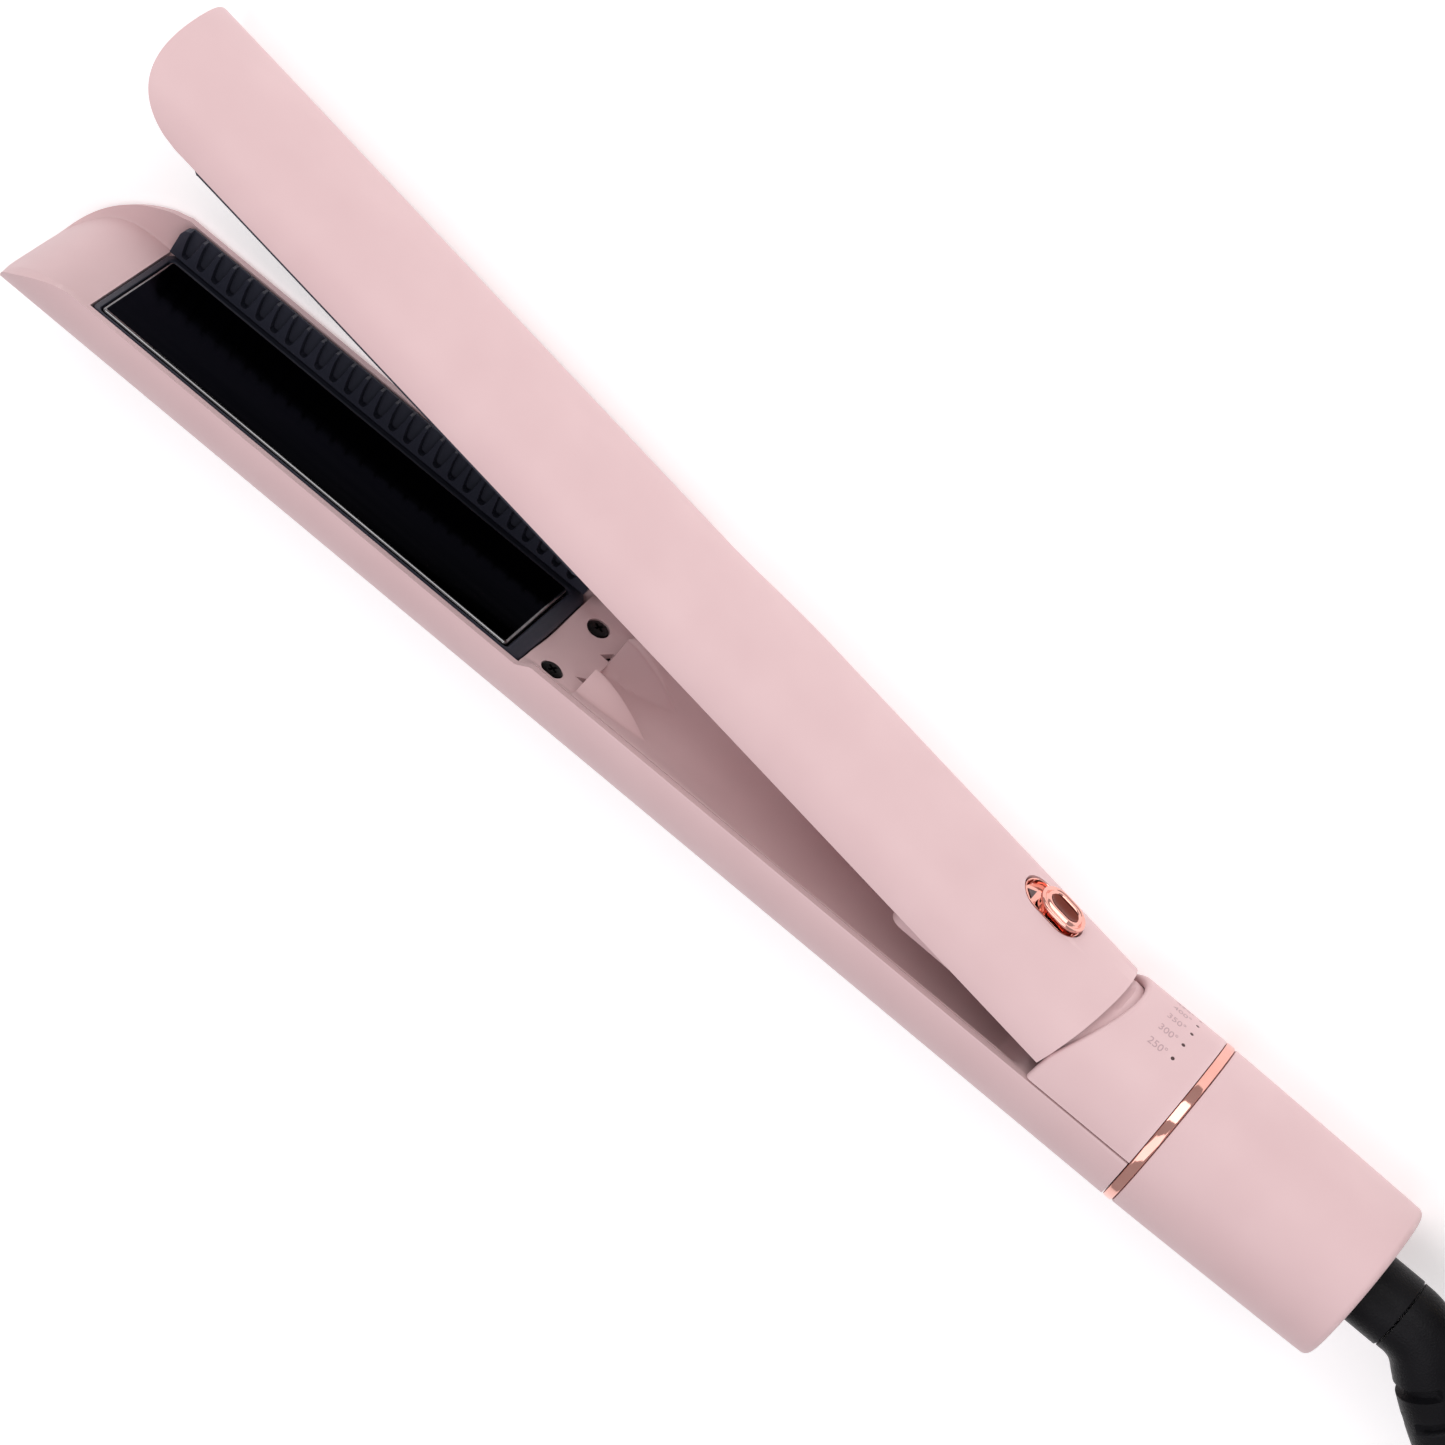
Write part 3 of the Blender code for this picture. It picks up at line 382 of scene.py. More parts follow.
def plate_edge_highlight(f):
    """The plate's rolled edge, coloured light grey as a painted highlight along it."""
    marks = f.noise(0.8, 5.0, (0.05, 1.0, 1.0))
    f.colour(f.mix(f.span(marks, 0.0, 1.0), (0.16, 0.16, 0.165), (0.24, 0.24, 0.245)))
    f.roughness(f.span(marks, 0.12, 0.22))
    f.bump(marks, 0.001)
    f.set(Metallic=1.0)


def smoked_gold(f):
    metal(f, (0.17, 0.046, 0.032), (0.12, 0.030, 0.022), 0.10, (0.15, 1.0, 1.0))


def rose_gold(f):
    metal(f, (0.86, 0.47, 0.40), (0.80, 0.40, 0.33), 0.07, (0.15, 1.0, 1.0))


def rubber_black(f):
    """Fine leather-grained rubber."""
    cells = f.node("TexVoronoi", f.position, Scale=2.6)
    f.colour(f.mix(f.span(f.noise(9.0), 0.0, 1.0), (0.0035, 0.0035, 0.0044), (0.0075, 0.0075, 0.0090)))
    f.roughness(f.span(f.noise(0.7, 4.0), 0.34, 0.46))
    f.set(Specular_IOR_Level=0.10)
    f.bump(f.math("ADD", cells.outputs["Distance"], f.math("MULTIPLY", f.noise(0.25, 4.0), 0.6)), 0.05)


def cord_black(f):
    """Extruded cord jacket: smoother than the boot, with a faint fine bump."""
    f.colour(f.mix(f.span(f.noise(12.0), 0.0, 1.0), (0.009, 0.009, 0.010), (0.016, 0.016, 0.017)))
    f.roughness(f.span(f.noise(0.9, 4.0), 0.34, 0.46))
    f.bump(f.noise(0.5, 5.0), 0.012)


def strap_black(f):
    """Woven tape."""
    waves = []
    for axis in ("X", "Y"):
        wave = f.node("TexWave", f.position, Scale=0.42)
        wave.bands_direction = axis
        waves.append(wave.outputs["Fac"])
    weave = f.math("MULTIPLY", *waves)
    f.colour(f.mix(weave, (0.012, 0.012, 0.013), (0.045, 0.045, 0.048)))
    f.roughness(f.span(f.noise(0.4), 0.7, 0.9))
    f.bump(weave, 0.12)


def steel(f):
    metal(f, (0.60, 0.60, 0.62), (0.46, 0.46, 0.48), 0.30, (0.2, 1.0, 1.0))


def dark_steel(f):
    metal(f, (0.018, 0.016, 0.017), (0.010, 0.009, 0.009), 0.42)


def brass(f):
    metal(f, (0.78, 0.60, 0.28), (0.62, 0.45, 0.18), 0.24, (1.0, 0.2, 1.0))


def ceramic(f):
    moulded(f, (0.82, 0.80, 0.74), (0.70, 0.67, 0.60), (0.88, 0.87, 0.83), 0.55, 0.12, 0.01)


def silicone(f):
    moulded(f, (0.55, 0.16, 0.10), (0.44, 0.12, 0.08), (0.62, 0.24, 0.17), 0.60, 0.5, 0.02)


def nylon(f):
    moulded(f, (0.70, 0.69, 0.64), (0.60, 0.59, 0.54), (0.80, 0.79, 0.75), 0.50, 0.3, 0.01)


def wire_red(f):
    moulded(f, (0.42, 0.025, 0.02), (0.30, 0.018, 0.015), (0.5, 0.06, 0.05), 0.45, 0.3, 0.01)


def lens(f):
    moulded(f, (0.055, 0.022, 0.022), (0.035, 0.014, 0.014), (0.12, 0.06, 0.06), 0.30, 0.3, 0.003)


def print_grey(f):
    """Pad-printed marks, a little broken where the coating's grain takes less ink."""
    f.colour(f.mix(f.span(f.noise(0.12, 4.0), 0.0, 1.0), (0.40, 0.27, 0.29), (0.56, 0.38, 0.40)))
    f.roughness(f.span(f.noise(0.3), 0.45, 0.6))
    f.bump(f.noise(0.16, 4.0), 0.004)


def board_green(f):
    """Solder mask over square-cornered tracks."""
    turn = f.node("Mapping", f.position, Rotation=(pi / 2, 0.0, 0.0))
    tracks = f.node("TexBrick", turn.outputs["Vector"], Scale=0.22, Mortar_Size=0.05)
    f.colour(f.mix(tracks.outputs["Fac"], (0.012, 0.12, 0.05), (0.10, 0.30, 0.12)))
    f.roughness(f.span(f.noise(1.0), 0.25, 0.4))
    f.bump(tracks.outputs["Fac"], 0.03)


FINISHES = {recipe.__name__: recipe for recipe in (
    soft_pink, charcoal, plate_black, plate_edge_highlight, rose_gold, smoked_gold, rubber_black, cord_black,
    strap_black, steel, dark_steel, brass, ceramic, silicone, nylon, wire_red, lens, print_grey, board_green)}


def material(name):
    if name not in made_materials:
        finish = Finish(name)
        FINISHES[name](finish)
        made_materials[name] = finish.material
    return made_materials[name]


# --- arm shells

SHELL_POINTS = 97


def upper_far_rim(x):
    return UPPER_RIM_Y + ramp(x, -141.5, -131.0, 0.0, 4.6) - ramp(x, -27.0, -18.0, 0.0, 4.6)


def upper_rise(x):
    return ramp(x, -22.0, 2.0, UPPER_RISE_PLATE, UPPER_RISE_HANDLE)


def nose_curve(x):
    """0 at the plate frame, 1 at the tip: level at first, then rounding over."""
    return max(0.0, (FRAME_X0 - x) / (FRAME_X0 - TIP_X)) ** 3.8


def lower_scoop(x):
    return -3.3 - 9.5 * nose_curve(x)


def lower_near_rim(x):
    if x < FRAME_X0:
        return min(-2.5, lower_scoop(x) + 0.8)
    return ramp(x, FRAME_X1 - 0.2, FRAME_X1 + 3.4, -2.5, REAR_RIM_Y)


def lower_far_rim(x):
    return ramp(x, -30.0, -23.0, 4.2, REAR_RIM_Y)


def tip_setback(angle, limit, corner):
    """How far the tip's edge leans back at an angle from the arm's outer centre line.

    corner is the extra length over which the edge rounds into the rim, which lies at limit.
    """
    near_limit = min(1.0, abs(angle) / limit) ** 12
    return 9.6 * (abs(angle) / (pi / 2)) ** 3.6 + corner * (1 - sqrt(1 - near_limit))


def arm_section(side, x_of, near_y, far_y, rise, half_z, base_y, floor=None):
    """Outer and inner points from the near rim to the far rim; side is -1 for the lower arm.

    floor(x), where given, is the scoop's surface, blended into the inner wall.
    """
    rows = ([], [])
    for t in spaced(0.0, 1.0, SHELL_POINTS):
        for row, shrink in zip(rows, (0.0, WALL)):
            height, half = rise - shrink, half_z - shrink
            near = acos(max(-1.0, min(1.0, side * (near_y - base_y) / height)))
            far = acos(max(-1.0, min(1.0, side * (far_y - base_y) / height)))
            angle = -near + (near + far) * t
            if not shrink:
                x = x_of(angle)
            y = base_y + side * height * cos(angle)
            z = -half * sin(angle)
            if shrink and floor and (side < 0 or z > COMB_Z1):
                y = side * -soft_max(side * -y, side * -floor(x), 0.7)
            row.append((x, y, z))
    return rows


def arm_shell(name, side, body):
    """The casing of one arm, from its scooped tip to its rear edge."""
    lower = side < 0
    base_y = 0.0 if lower else UPPER_RIM_Y
    half_z = BODY_R if lower else UPPER_HALF_Z
    scoop_x = FRAME_X0 - GAP

    def rise(x):
        return BODY_R if lower else upper_rise(x)

    def rims(x):
        return (lower_near_rim(x), lower_far_rim(x)) if lower else (UPPER_RIM_Y, upper_far_rim(x))

    def scoop(x):
        return lower_scoop(x) if lower else UPPER_RIM_Y + 0.6 + 8.9 * nose_curve(x)

    far_y = rims(scoop_x)[1]
    far_tip = far_y - 1.0 if lower else UPPER_RIM_Y + 1.4     # clear of the lower rim when closed
    limit, corner = (1.82, 1.6) if lower else (pi / 2, 5.0)
    sections = []
    for f in spaced(0.0, 1.0, 34):
        far_here = far_tip + (far_y - far_tip) * min(1.0, 1.8 * f)
        near_here = rims((TIP_X + 0.8) * (1 - f) + scoop_x * f)[0]
        sections.append(arm_section(
            side, lambda a, f=f: (TIP_X + tip_setback(a, limit, corner)) * (1 - f) + scoop_x * f,
            near_here, far_here, rise(scoop_x), half_z, base_y, scoop))
    stations = ([scoop_x + 0.02] + spaced(-126.0, -36.0, 16) + spaced(FRAME_X1 - 0.4, FRAME_X1 + 3.6, 15)
                + spaced(-29.5, -18.0, 17) + spaced(-16.0, 76.0, 32))
    if lower:
        stations += [ARM_END_X, 90.0, 102.9]
    for x in stations:
        near_y, far_y = rims(x)
        sections.append(arm_section(side, lambda a, x=x: x, near_y, far_y, rise(x), half_z, base_y))
    if not lower:
        sections.append(arm_section(side, lambda a: ARM_END_X + 2.0 * max(0.0, cos(a)), UPPER_RIM_Y,
                                    UPPER_RIM_Y, UPPER_RISE_HANDLE, half_z, base_y))
    return skin_loft(name, sections, body, "soft_pink")


def add_shells():
    lower = arm_shell("lower_casing", -1, "body")
    round_edges(lower, 0.5)
    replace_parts(lower, "lower_shell")
    upper = arm_shell("upper_casing", 1, "upper_arm")
    slot = loft("slot_tool", [pill(13.6, 8.6, y) for y in (9.0, 16.0)], "upper_arm", "soft_pink")
    combine(upper, "DIFFERENCE", slot)
    round_edges(upper, 0.38)
    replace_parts(upper, "upper_shell")


# --- inner covers

COVER_THICK = 1.3
COVER_X1 = 86.0
FIN_Z, FIN_X1 = 6.6, -9.8


def cover_edge(x):
    return ramp(x, FRAME_X1, FRAME_X1 + 3.6, -2.45, -0.9)


def deck_y(x, z):
    """The screw deck: a shallow valley between the rims."""
    valley = -2.9 - 1.5 * cos(pi / 2 * min(1.0, abs(z) / 11.0)) ** 1.6
    return ramp(abs(z), 11.6, 15.2, valley, cover_edge(x))


def trough_y(x, z):
    """Behind the deck: a rounded hollow that turns square and deep towards the hinge, then ends."""
    round_hollow = -0.9 - 4.9 * cos(pi / 2 * min(1.0, abs(z) / 15.0)) ** 1.3
    deep = ramp(abs(z), 10.8, 15.0, -8.2, -0.9)
    floor = round_hollow + (deep - round_hollow) * ramp(x, 0.0, 34.0)
    return ramp(x, 73.0, ARM_END_X - 0.6, floor, -1.3)


def fin_y(x, z):
    """Height of the nearer guide fin: steep towards the middle, a long slope towards the rim."""
    t = (x - DECK_X1) / (FIN_X1 - DECK_X1)
    crest = 0.75 - 4.3 * max(0.0, t) ** 1.7
    off = abs(z) - FIN_Z
    rounding = 0.35 * sqrt(1 + (off / 0.35) ** 2) - 0.35
    return crest - rounding * (0.52 if off > 0 else 1.9)


def lower_cover_y(x, z):
    if x < DECK_X1:
        return deck_y(x, z)
    if x < FIN_X1 + 2.0:
        return soft_max(trough_y(x, z), fin_y(x, z), 0.35)
    return trough_y(x, z)


def upper_cover_y(x, z):
    edge = UPPER_RIM_Y + 0.4
    if x < DECK_X1:
        return edge + 0.8 * ramp(abs(z), 14.8, 11.0)
    return edge + ramp(x, DECK_X1, 0.0, 2.6, 3.6) * ramp(abs(z), 14.5, 8.0)


def cover(name, surface, side, across, stations, body):
    """A thin cover across an arm; side is +1 where its visible face looks up."""
    sections = []
    for x in stations:
        top = [(x, surface(x, z), z) for z in across]
        sections.append((top, [(px, py - side * COVER_THICK, pz) for px, py, pz in top]))
    return skin_loft(name, sections, body, "soft_pink", sharp=40.0)


def cross_head(name, z, y, body, side, node):
    """A dark pan-head screw with a cross recess; side is +1 where the head looks up."""
    rings = []
    for share, dy in ((1.0, -1.6), (1.0, -0.45), (0.93, -0.18), (0.75, -0.03), (0.01, 0.0)):
        rings.append(ring_y(SCREW_X, y + side * dy, z, SCREW_R * share, 40))
    head = loft(name, rings, body, "dark_steel")
    for turn in (0.4, 0.4 + pi / 2):
        tool = []
        for dy, half in ((-0.8, 0.7), (0.2, 1.15)):
            ring = []
            for a, b in ((-half, -0.24), (half, -0.24), (half, 0.24), (-half, 0.24)):
                ring.append((SCREW_X + a * cos(turn) - b * sin(turn), y + side * dy,
                             z + a * sin(turn) + b * cos(turn)))
            tool.append(ring)
        combine(head, "DIFFERENCE", loft("cross_tool", tool, body, "dark_steel"))
    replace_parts(head, node)


def screw_hole(z, y0, y1, body):
    rings = [ring_y(SCREW_X, y, z, SCREW_HOLE_R, 48) for y in (y0, y1)]
    return loft("hole_tool", rings, body, "soft_pink")


def notch_tool(z, half):
    """The little wedge-shaped slot in the deck in front of a fin."""
    rings = []
    for zz, reach in ((z - half, 0.4), (z + half, 2.0)):
        rings.append([(DECK_X1 - 0.3, -1.0, zz), (DECK_X1 - 0.3 - reach, -1.0, zz),
                      (DECK_X1 - 0.3 - reach, -7.5, zz), (DECK_X1 - 0.3, -7.5, zz)])
    return loft("notch_tool", rings, "body", "soft_pink")


def add_covers():
    lower_stations = spaced(FRAME_X1 + GAP, DECK_X1 - 0.02, 24) + spaced(DECK_X1 + 0.02, FIN_X1 + 2.0, 40)
    lower_stations += spaced(-7.0, 72.0, 30) + spaced(73.0, ARM_END_X - 0.6, 22) + [82.0, COVER_X1]
    near = spaced(15.2, 7.2, 22) + spaced(7.1, 6.1, 13) + spaced(5.9, 4.2, 8) + spaced(3.8, 0.5, 7)
    across = near + [-z for z in reversed(near)]
    lower = cover("lower_cover", lower_cover_y, 1, across, lower_stations, "body")
    tools = [screw_hole(z, -6.5, 1.0, "body") for z in (10.0, -9.2)]
    tools += [notch_tool(z, 1.1) for z in (5.1, -5.5)]
    combine(lower, "DIFFERENCE", *tools)
    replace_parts(lower, "lower_inner_cover")
    cross_head("deck_screw_near", 10.0, -2.75, "body", 1, "cover_screw_near")
    cross_head("deck_screw_far", -9.2, -2.9, "body", 1, "cover_screw_far")

    upper_stations = (spaced(FRAME_X1 + GAP, DECK_X1 - 0.02, 8) + [DECK_X1 + 0.02] + spaced(-21.5, 70.4, 36))
    upper = cover("upper_cover", upper_cover_y, -1, spaced(14.8, -14.8, 61), upper_stations, "upper_arm")
    combine(upper, "DIFFERENCE", *[screw_hole(z, -2.0, 6.0, "upper_arm") for z in (9.6, -9.6)])
    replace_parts(upper, "upper_inner_cover")
    cross_head("arm_screw_near", 9.6, 2.2, "upper_arm", -1, "upper_screw_near")
    cross_head("arm_screw_far", -9.6, 2.2, "upper_arm", -1, "upper_screw_far")
    add_tongue()


def add_tongue():
    """The wedge under the upper arm, with rounded corners and sloping underside."""
    x0, x1, half, low0, low1 = 44.6, 74.0, 11.6, -5.7, -1.4
    rings = []
    for y_share in spaced(0.0, 1.0, 10):
        inset = 1.0 - sqrt(max(0.0, 1 - (1 - min(1.0, y_share * 5.0)) ** 2))
        outline = rounded_box_outline(x0 + inset, x1 - inset, -half + inset, half - inset, 2.4, 8)
        ring = []
        for x, z in outline:
            low = low0 + (low1 - low0) * (x - x0) / (x1 - x0)
            ring.append((x, low + (0.9 - low) * y_share, z))
        rings.append(ring)
    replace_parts(loft("tongue", rings, "upper_arm", "soft_pink"), "hinge_tongue")


# --- heating plates

def add_plate(name, face_y, side, body, node):
    """A coated plate whose rolled edges are coloured lighter as a painted highlight; side is +1 where its
    face looks up.
    """
    rings = []
    for inset, drop in ((0.0, 3.5), (0.0, 0.7), (0.04, 0.46), (0.15, 0.22), (0.32, 0.07), (0.55, 0.0)):
        outline = rounded_box_outline(PLATE_X0 - 0.4 + inset, PLATE_X1 - inset, PLATE_Z0 + inset,
                                      PLATE_Z1 - inset, max(0.3, 0.9 - inset))
        rings.append([(x, face_y - side * drop, z) for x, z in outline])
    plate = loft(name, rings, body, "plate_black", sharp=45.0)
    # The rolled edge rings take the lighter finish: a painted highlight along the plate's rim.
    plate.data.materials.append(material("plate_edge_highlight"))
    count = len(rings[0])
    for face in plate.data.polygons:
        if count <= face.index < 5 * count:
            face.material_index = 1
    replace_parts(plate, node)


def add_lower_frame():
    """The dark frame round the lower plate; its ends slope down away from the plate."""
    lip, foot, slope = -2.65, -4.4, 0.6
    inner = (PLATE_X0 - 0.4 - GAP, PLATE_X1 + GAP, PLATE_Z0 - GAP, PLATE_Z1 + GAP, 1.0)
    outer = (FRAME_X0, FRAME_X1, -14.8, 14.85, 2.2)

    def height(x, drop):
        front = min(1.0, max(0.0, (PLATE_X0 - 0.6 - x) / (PLATE_X0 - 0.6 - FRAME_X0)))
        rear = min(1.0, max(0.0, (x - PLATE_X1 - 0.8) / (FRAME_X1 - PLATE_X1 - 0.8)))
        return lip - slope * max(front, rear) - drop

    rings = []
    section = ((0.0, None), (0.0, 0.3), (0.1, 0.04), (0.2, 0.0), (0.35, 0.0), (0.55, 0.0), (0.75, 0.0),
               (0.9, 0.05), (0.98, 0.2), (1.0, 0.45), (1.0, None))
    for share, drop in section:
        bounds = [a + (b - a) * share for a, b in zip(inner, outer)]
        ring = []
        for x, z in rounded_box_outline(*bounds[:4], bounds[4], 8):
            ring.append((x, foot if drop is None else height(x, drop), z))
        rings.append(ring)
    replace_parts(loft("lower_frame", rings, "body", "charcoal", looped=True), "lower_plate_frame")


def add_comb():
    """Tapering teeth with round-bottomed pockets between them and a thin wall behind."""
    x0, x1 = FRAME_X0, -34.4
    foot_y, top_y, slot_y = -2.0, 3.95, -1.35
    start, pitch, count = -128.05, 3.45, 27
    half_slot, half_top = 0.78, 1.36
    outline = [(x0, foot_y), (x0, top_y - 1.5), (x0 + 0.5, top_y - 0.45), (x0 + 1.4, top_y)]
    for i in range(count):
        middle = start + pitch * i
        sides = []
        for t in spaced(1.0, 0.0, 7):
            half = half_slot + (half_top - half_slot) * (1 - (1 - t) ** 1.8)
            sides.append((half, slot_y + half_slot + (top_y - 0.25 - slot_y - half_slot) * t))
        outline.append((middle - half_top - 0.12, top_y))
        outline += [(middle - half, y) for half, y in sides]
        for angle in spaced(pi, 2 * pi, 9)[1:-1]:
            outline.append((middle + half_slot * cos(angle), slot_y + half_slot * (1 + sin(angle))))
        outline += [(middle + half, y) for half, y in reversed(sides)]
        outline.append((middle + half_top + 0.12, top_y))
    outline += [(x1 - 1.4, top_y), (x1 - 0.5, top_y - 0.45), (x1, top_y - 1.5), (x1, foot_y)]
    rings = [[(x, y, z) for x, y in outline] for z in (COMB_Z0 + 0.3, COMB_Z1)]
    comb = loft("comb", rings, "body", "charcoal")
    back = [(top_y - 0.05, -14.3), (top_y - 0.05, COMB_Z0), (foot_y, COMB_Z0), (foot_y, -14.3)]
    rings = [[(x, y, z) for y, z in back] for x in (x0 + 1.3, x1 - 1.3)]
    join(comb, loft("comb_back", rings, "body", "charcoal"))
    round_edges(comb, 0.13, 2)
    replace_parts(comb, "heat_comb")


# --- hinge end

BAND_X0, BAND_X1 = 103.1, 105.0


def collar_front(angle):
    """The collar's swept front edge: furthest back over the top of the hinge."""
    c = max(0.0, cos(angle))
    return max(78.8 + 7.8 * c ** 1.3, ARM_END_X + GAP + 2.0 * c)


def add_collar():
    """The half tube over the hinge, with a full round lip and five indicator holes."""
    wall, lip = 1.9, 0.95
    profile = [(lip - lip * sin(a), lip - lip * cos(a)) for a in spaced(0.0, pi / 2, 7)]
    steps = [(dx, shrink, 0.0) for dx, shrink in reversed(profile)]
    steps += [(0.0, 0.0, f) for f in spaced(0.08, 1.0, 12)]
    sections = []
    for dx, shrink, f in steps:
        outer, inner = [], []
        for t in spaced(0.0, 1.0, SHELL_POINTS):
            for radius, row in ((BODY_R - shrink, outer), (BODY_R - wall + shrink, inner)):
                limit = pi / 2 + asin(0.35 / radius)
                angle = -limit + 2 * limit * t
                front = collar_front(angle)
                x = front + dx if f == 0.0 else front + lip + (BAND_X0 - 0.12 - front - lip) * f
                row.append((x, radius * cos(angle), -radius * sin(angle)))
        sections.append((outer, inner))
    collar = skin_loft("collar", sections, "body", "soft_pink")
    tools = []
    for i in range(DOT_COUNT):
        angle = radians(DOT_STEP_DEG * (i - (DOT_COUNT - 1) / 2))
        out = Vector((0, cos(angle), -sin(angle)))
        side = Vector((0, sin(angle), cos(angle)))
        rings = []
        for r in (13.0, 18.0):
            middle = Vector((DOT_X, 0, 0)) + out * r
            rings.append([middle + (Vector((1, 0, 0)) * cos(a) + side * sin(a)) * DOT_R
                          for a in turn_angles(20)])
        tools.append(loft("dot_tool", rings, "body", "soft_pink"))
    combine(collar, "DIFFERENCE", *tools)
    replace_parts(collar, "hinge_collar")


def add_temperature_marks():
    """Generic temperatures printed in front of the indicator holes."""
    bm = bmesh.new()
    for i, label in enumerate(("250°", "300°", "350°", "400°", "450°")):
        text = bpy.data.curves.new("mark", "FONT")
        text.body = label
        text.size = 2.1
        text.extrude = 0.012
        text.align_x = "RIGHT"
        text.align_y = "CENTER"
        holder = new_object("mark", text)
        flat = final_mesh(holder)
        angle = radians(DOT_STEP_DEG * (i - (DOT_COUNT - 1) / 2))
        for vertex in flat.vertices:
            along, up, raise_by = vertex.co
            here = angle + up / BODY_R
            radius = BODY_R + 0.012 + raise_by
            vertex.co = at((DOT_X - 1.4 + along, radius * cos(here), -radius * sin(here)))
        bm.from_mesh(flat)
        bpy.data.objects.remove(holder)
    mesh = bpy.data.meshes.new("temperature_marks")
    bm.to_mesh(mesh)
    bm.free()
    mesh.materials.clear()
    mesh.materials.append(material("print_grey"))
    marks = new_object("temperature_marks", mesh)
    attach(marks, "body")


def add_neck():
    """The upper arm's neck, which runs in under the collar, with its two hinge eyes."""
    base_y, wall, eye_r, bore_r = UPPER_RIM_Y + 0.3, 1.8, 4.4, 2.4
    sections = []
    for x, rise, half, edge in ((71.0, 10.9, 14.2, 0.0), (79.0, 10.9, 14.2, 2.2), (80.2, 11.1, 14.2, 2.2),
                                (81.0, 11.8, 14.1, 2.2), (82.5, 12.0, 14.0, 2.2), (94.0, 12.0, 14.0, 0.0)):
        outer, inner = [], []
        for angle in spaced(-pi / 2, pi / 2, SHELL_POINTS):
            c, s = cos(angle), sin(angle)
            outer.append((x + edge * c, base_y + rise * c, -half * s))
            inner.append((x + edge * c, base_y + (rise - wall) * c, -(half - wall) * s))
        sections.append((outer, inner))
    neck = skin_loft("neck", sections, "upper_arm", "soft_pink")
    for z0, z1 in ((4.8, 8.4), (-8.4, -4.8)):
        outline = [(78.0, 9.6), (78.0, 3.0), (88.0, 1.0)]
        for k in range(21):
            angle = radians(205 + 240 * k / 20)
            outline.append((PIVOT_X + eye_r * cos(angle), eye_r * sin(angle)))
        outline.append((93.5, 9.6))
        eye = loft("eye", [[(x, y, z) for x, y in outline] for z in (z0, z1)], "upper_arm", "soft_pink")
        rings = [[(PIVOT_X + bore_r * cos(a), bore_r * sin(a), z) for a in turn_angles(32)]
                 for z in (z0 - 1, z1 + 1)]
        combine(eye, "DIFFERENCE", loft("bore_tool", rings, "upper_arm", "soft_pink"))
        join(neck, eye)
    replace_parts(neck, "hinge_knuckle")


# --- tail

def add_tail():
    """The rose-gold trim ring, and the tapering dial sleeve with its rounded end."""
    profile = [(BAND_X0, 15.0), (BAND_X0, 16.84), (BAND_X0 + 0.1, 17.0), (BAND_X0 + 0.28, 17.07)]
    profile += [(x, RING_R - 0.03 * abs(x - 104.05) / 0.67) for x in spaced(BAND_X0 + 0.4, BAND_X1 - 0.4, 5)]
    profile += [(BAND_X1 - 0.28, 17.07), (BAND_X1 - 0.1, 17.0), (BAND_X1, 16.84), (BAND_X1, 15.0)]
    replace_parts(turned("ring_band", profile, "body", "rose_gold", looped=True, sides=192), "trim_ring")
    edge, bore, wall = 1.5, BARREL_R + 0.4, 2.0
    x0 = BAND_X1 + 0.14
    profile = [(x0, DIAL_R0 - wall), (x0, DIAL_R0 - 0.3), (x0 + 0.08, DIAL_R0 - 0.1), (x0 + 0.3, DIAL_R0)]
    for x in spaced(DIAL_X0 + 3.0, DIAL_X1 - edge - 2.0, 10):
        share = (x - DIAL_X0) / (DIAL_X1 - DIAL_X0)
        profile.append((x, DIAL_R0 + (DIAL_R1 - DIAL_R0) * share ** 1.2))
    for angle in spaced(0.0, pi / 2, 10):
        profile.append((DIAL_X1 - edge + edge * sin(angle), DIAL_R1 - edge + edge * cos(angle)))
    for back, radius in ((0.1, 11.5), (0.3, 11.0), (0.35, 8.4), (0.5, bore + 0.25), (0.8, bore), (2.2, bore),
                         (2.2, DIAL_R1 - wall)):
        profile.append((DIAL_X1 - back, radius))
    sleeve = turned("dial_sleeve", profile, "dial", "soft_pink", looped=True, sides=160)
    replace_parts(sleeve, "temperature_dial")


def add_lock():
    """Rose-gold tray with a triangle mark, and the sliding button with its double rim."""
    tray_rings = [pill(length, width, y) for length, width, y in
                  ((12.9, 7.9, 11.3), (12.9, 7.9, 13.2), (12.75, 7.75, 13.33), (12.5, 7.5, 13.35),
                   (12.3, 7.3, 13.25), (12.1, 7.1, 12.6), (11.6, 6.6, 12.25), (9.0, 4.0, 12.15))]
    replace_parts(loft("lock_tray", tray_rings, "upper_arm", "rose_gold"), "lock_bezel")
    mark_rings = []
    for y in (12.2, 12.32):
        outline = [(0.0, 0.0), (1.6, 1.3), (1.6, -1.3)]
        mark_rings.append([(LOCK_X - 5.3 + dx, y, LOCK_Z + dz) for dx, dz in outline])
    loft("lock_mark", mark_rings, "upper_arm", "lens")
    x = LOCK_X + LOCK_TRAVEL / 2
    rings = [pill(8.4, 5.6, 12.5, x), pill(8.4, 5.6, 13.9, x)]
    for inset, y in ((0.15, 14.1), (0.03, 14.3), (0.0, 14.5), (0.06, 14.78), (0.2, 14.95), (0.4, 15.03),
                     (0.6, 14.97), (0.72, 14.82), (0.85, 14.74), (0.98, 14.82), (1.1, 15.02), (1.25, 15.2),
                     (1.4, 15.29), (1.55, 15.3), (1.7, 15.22), (1.82, 15.05), (2.0, 14.9), (2.5, 14.72),
                     (3.0, 14.6), (3.45, 14.55)):
        rings.append(pill(9.9 - 2 * inset, 7.5 - 2 * inset, y, x))
    button = loft("slide_button", rings, "lock", "rose_gold", sharp=60.0)
    button.data.materials.append(material("smoked_gold"))
    for face in button.data.polygons:
        if face.index >= 17 * len(rings[0]):
            face.material_index = 1
    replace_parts(button, "lock_button")


# --- cord end

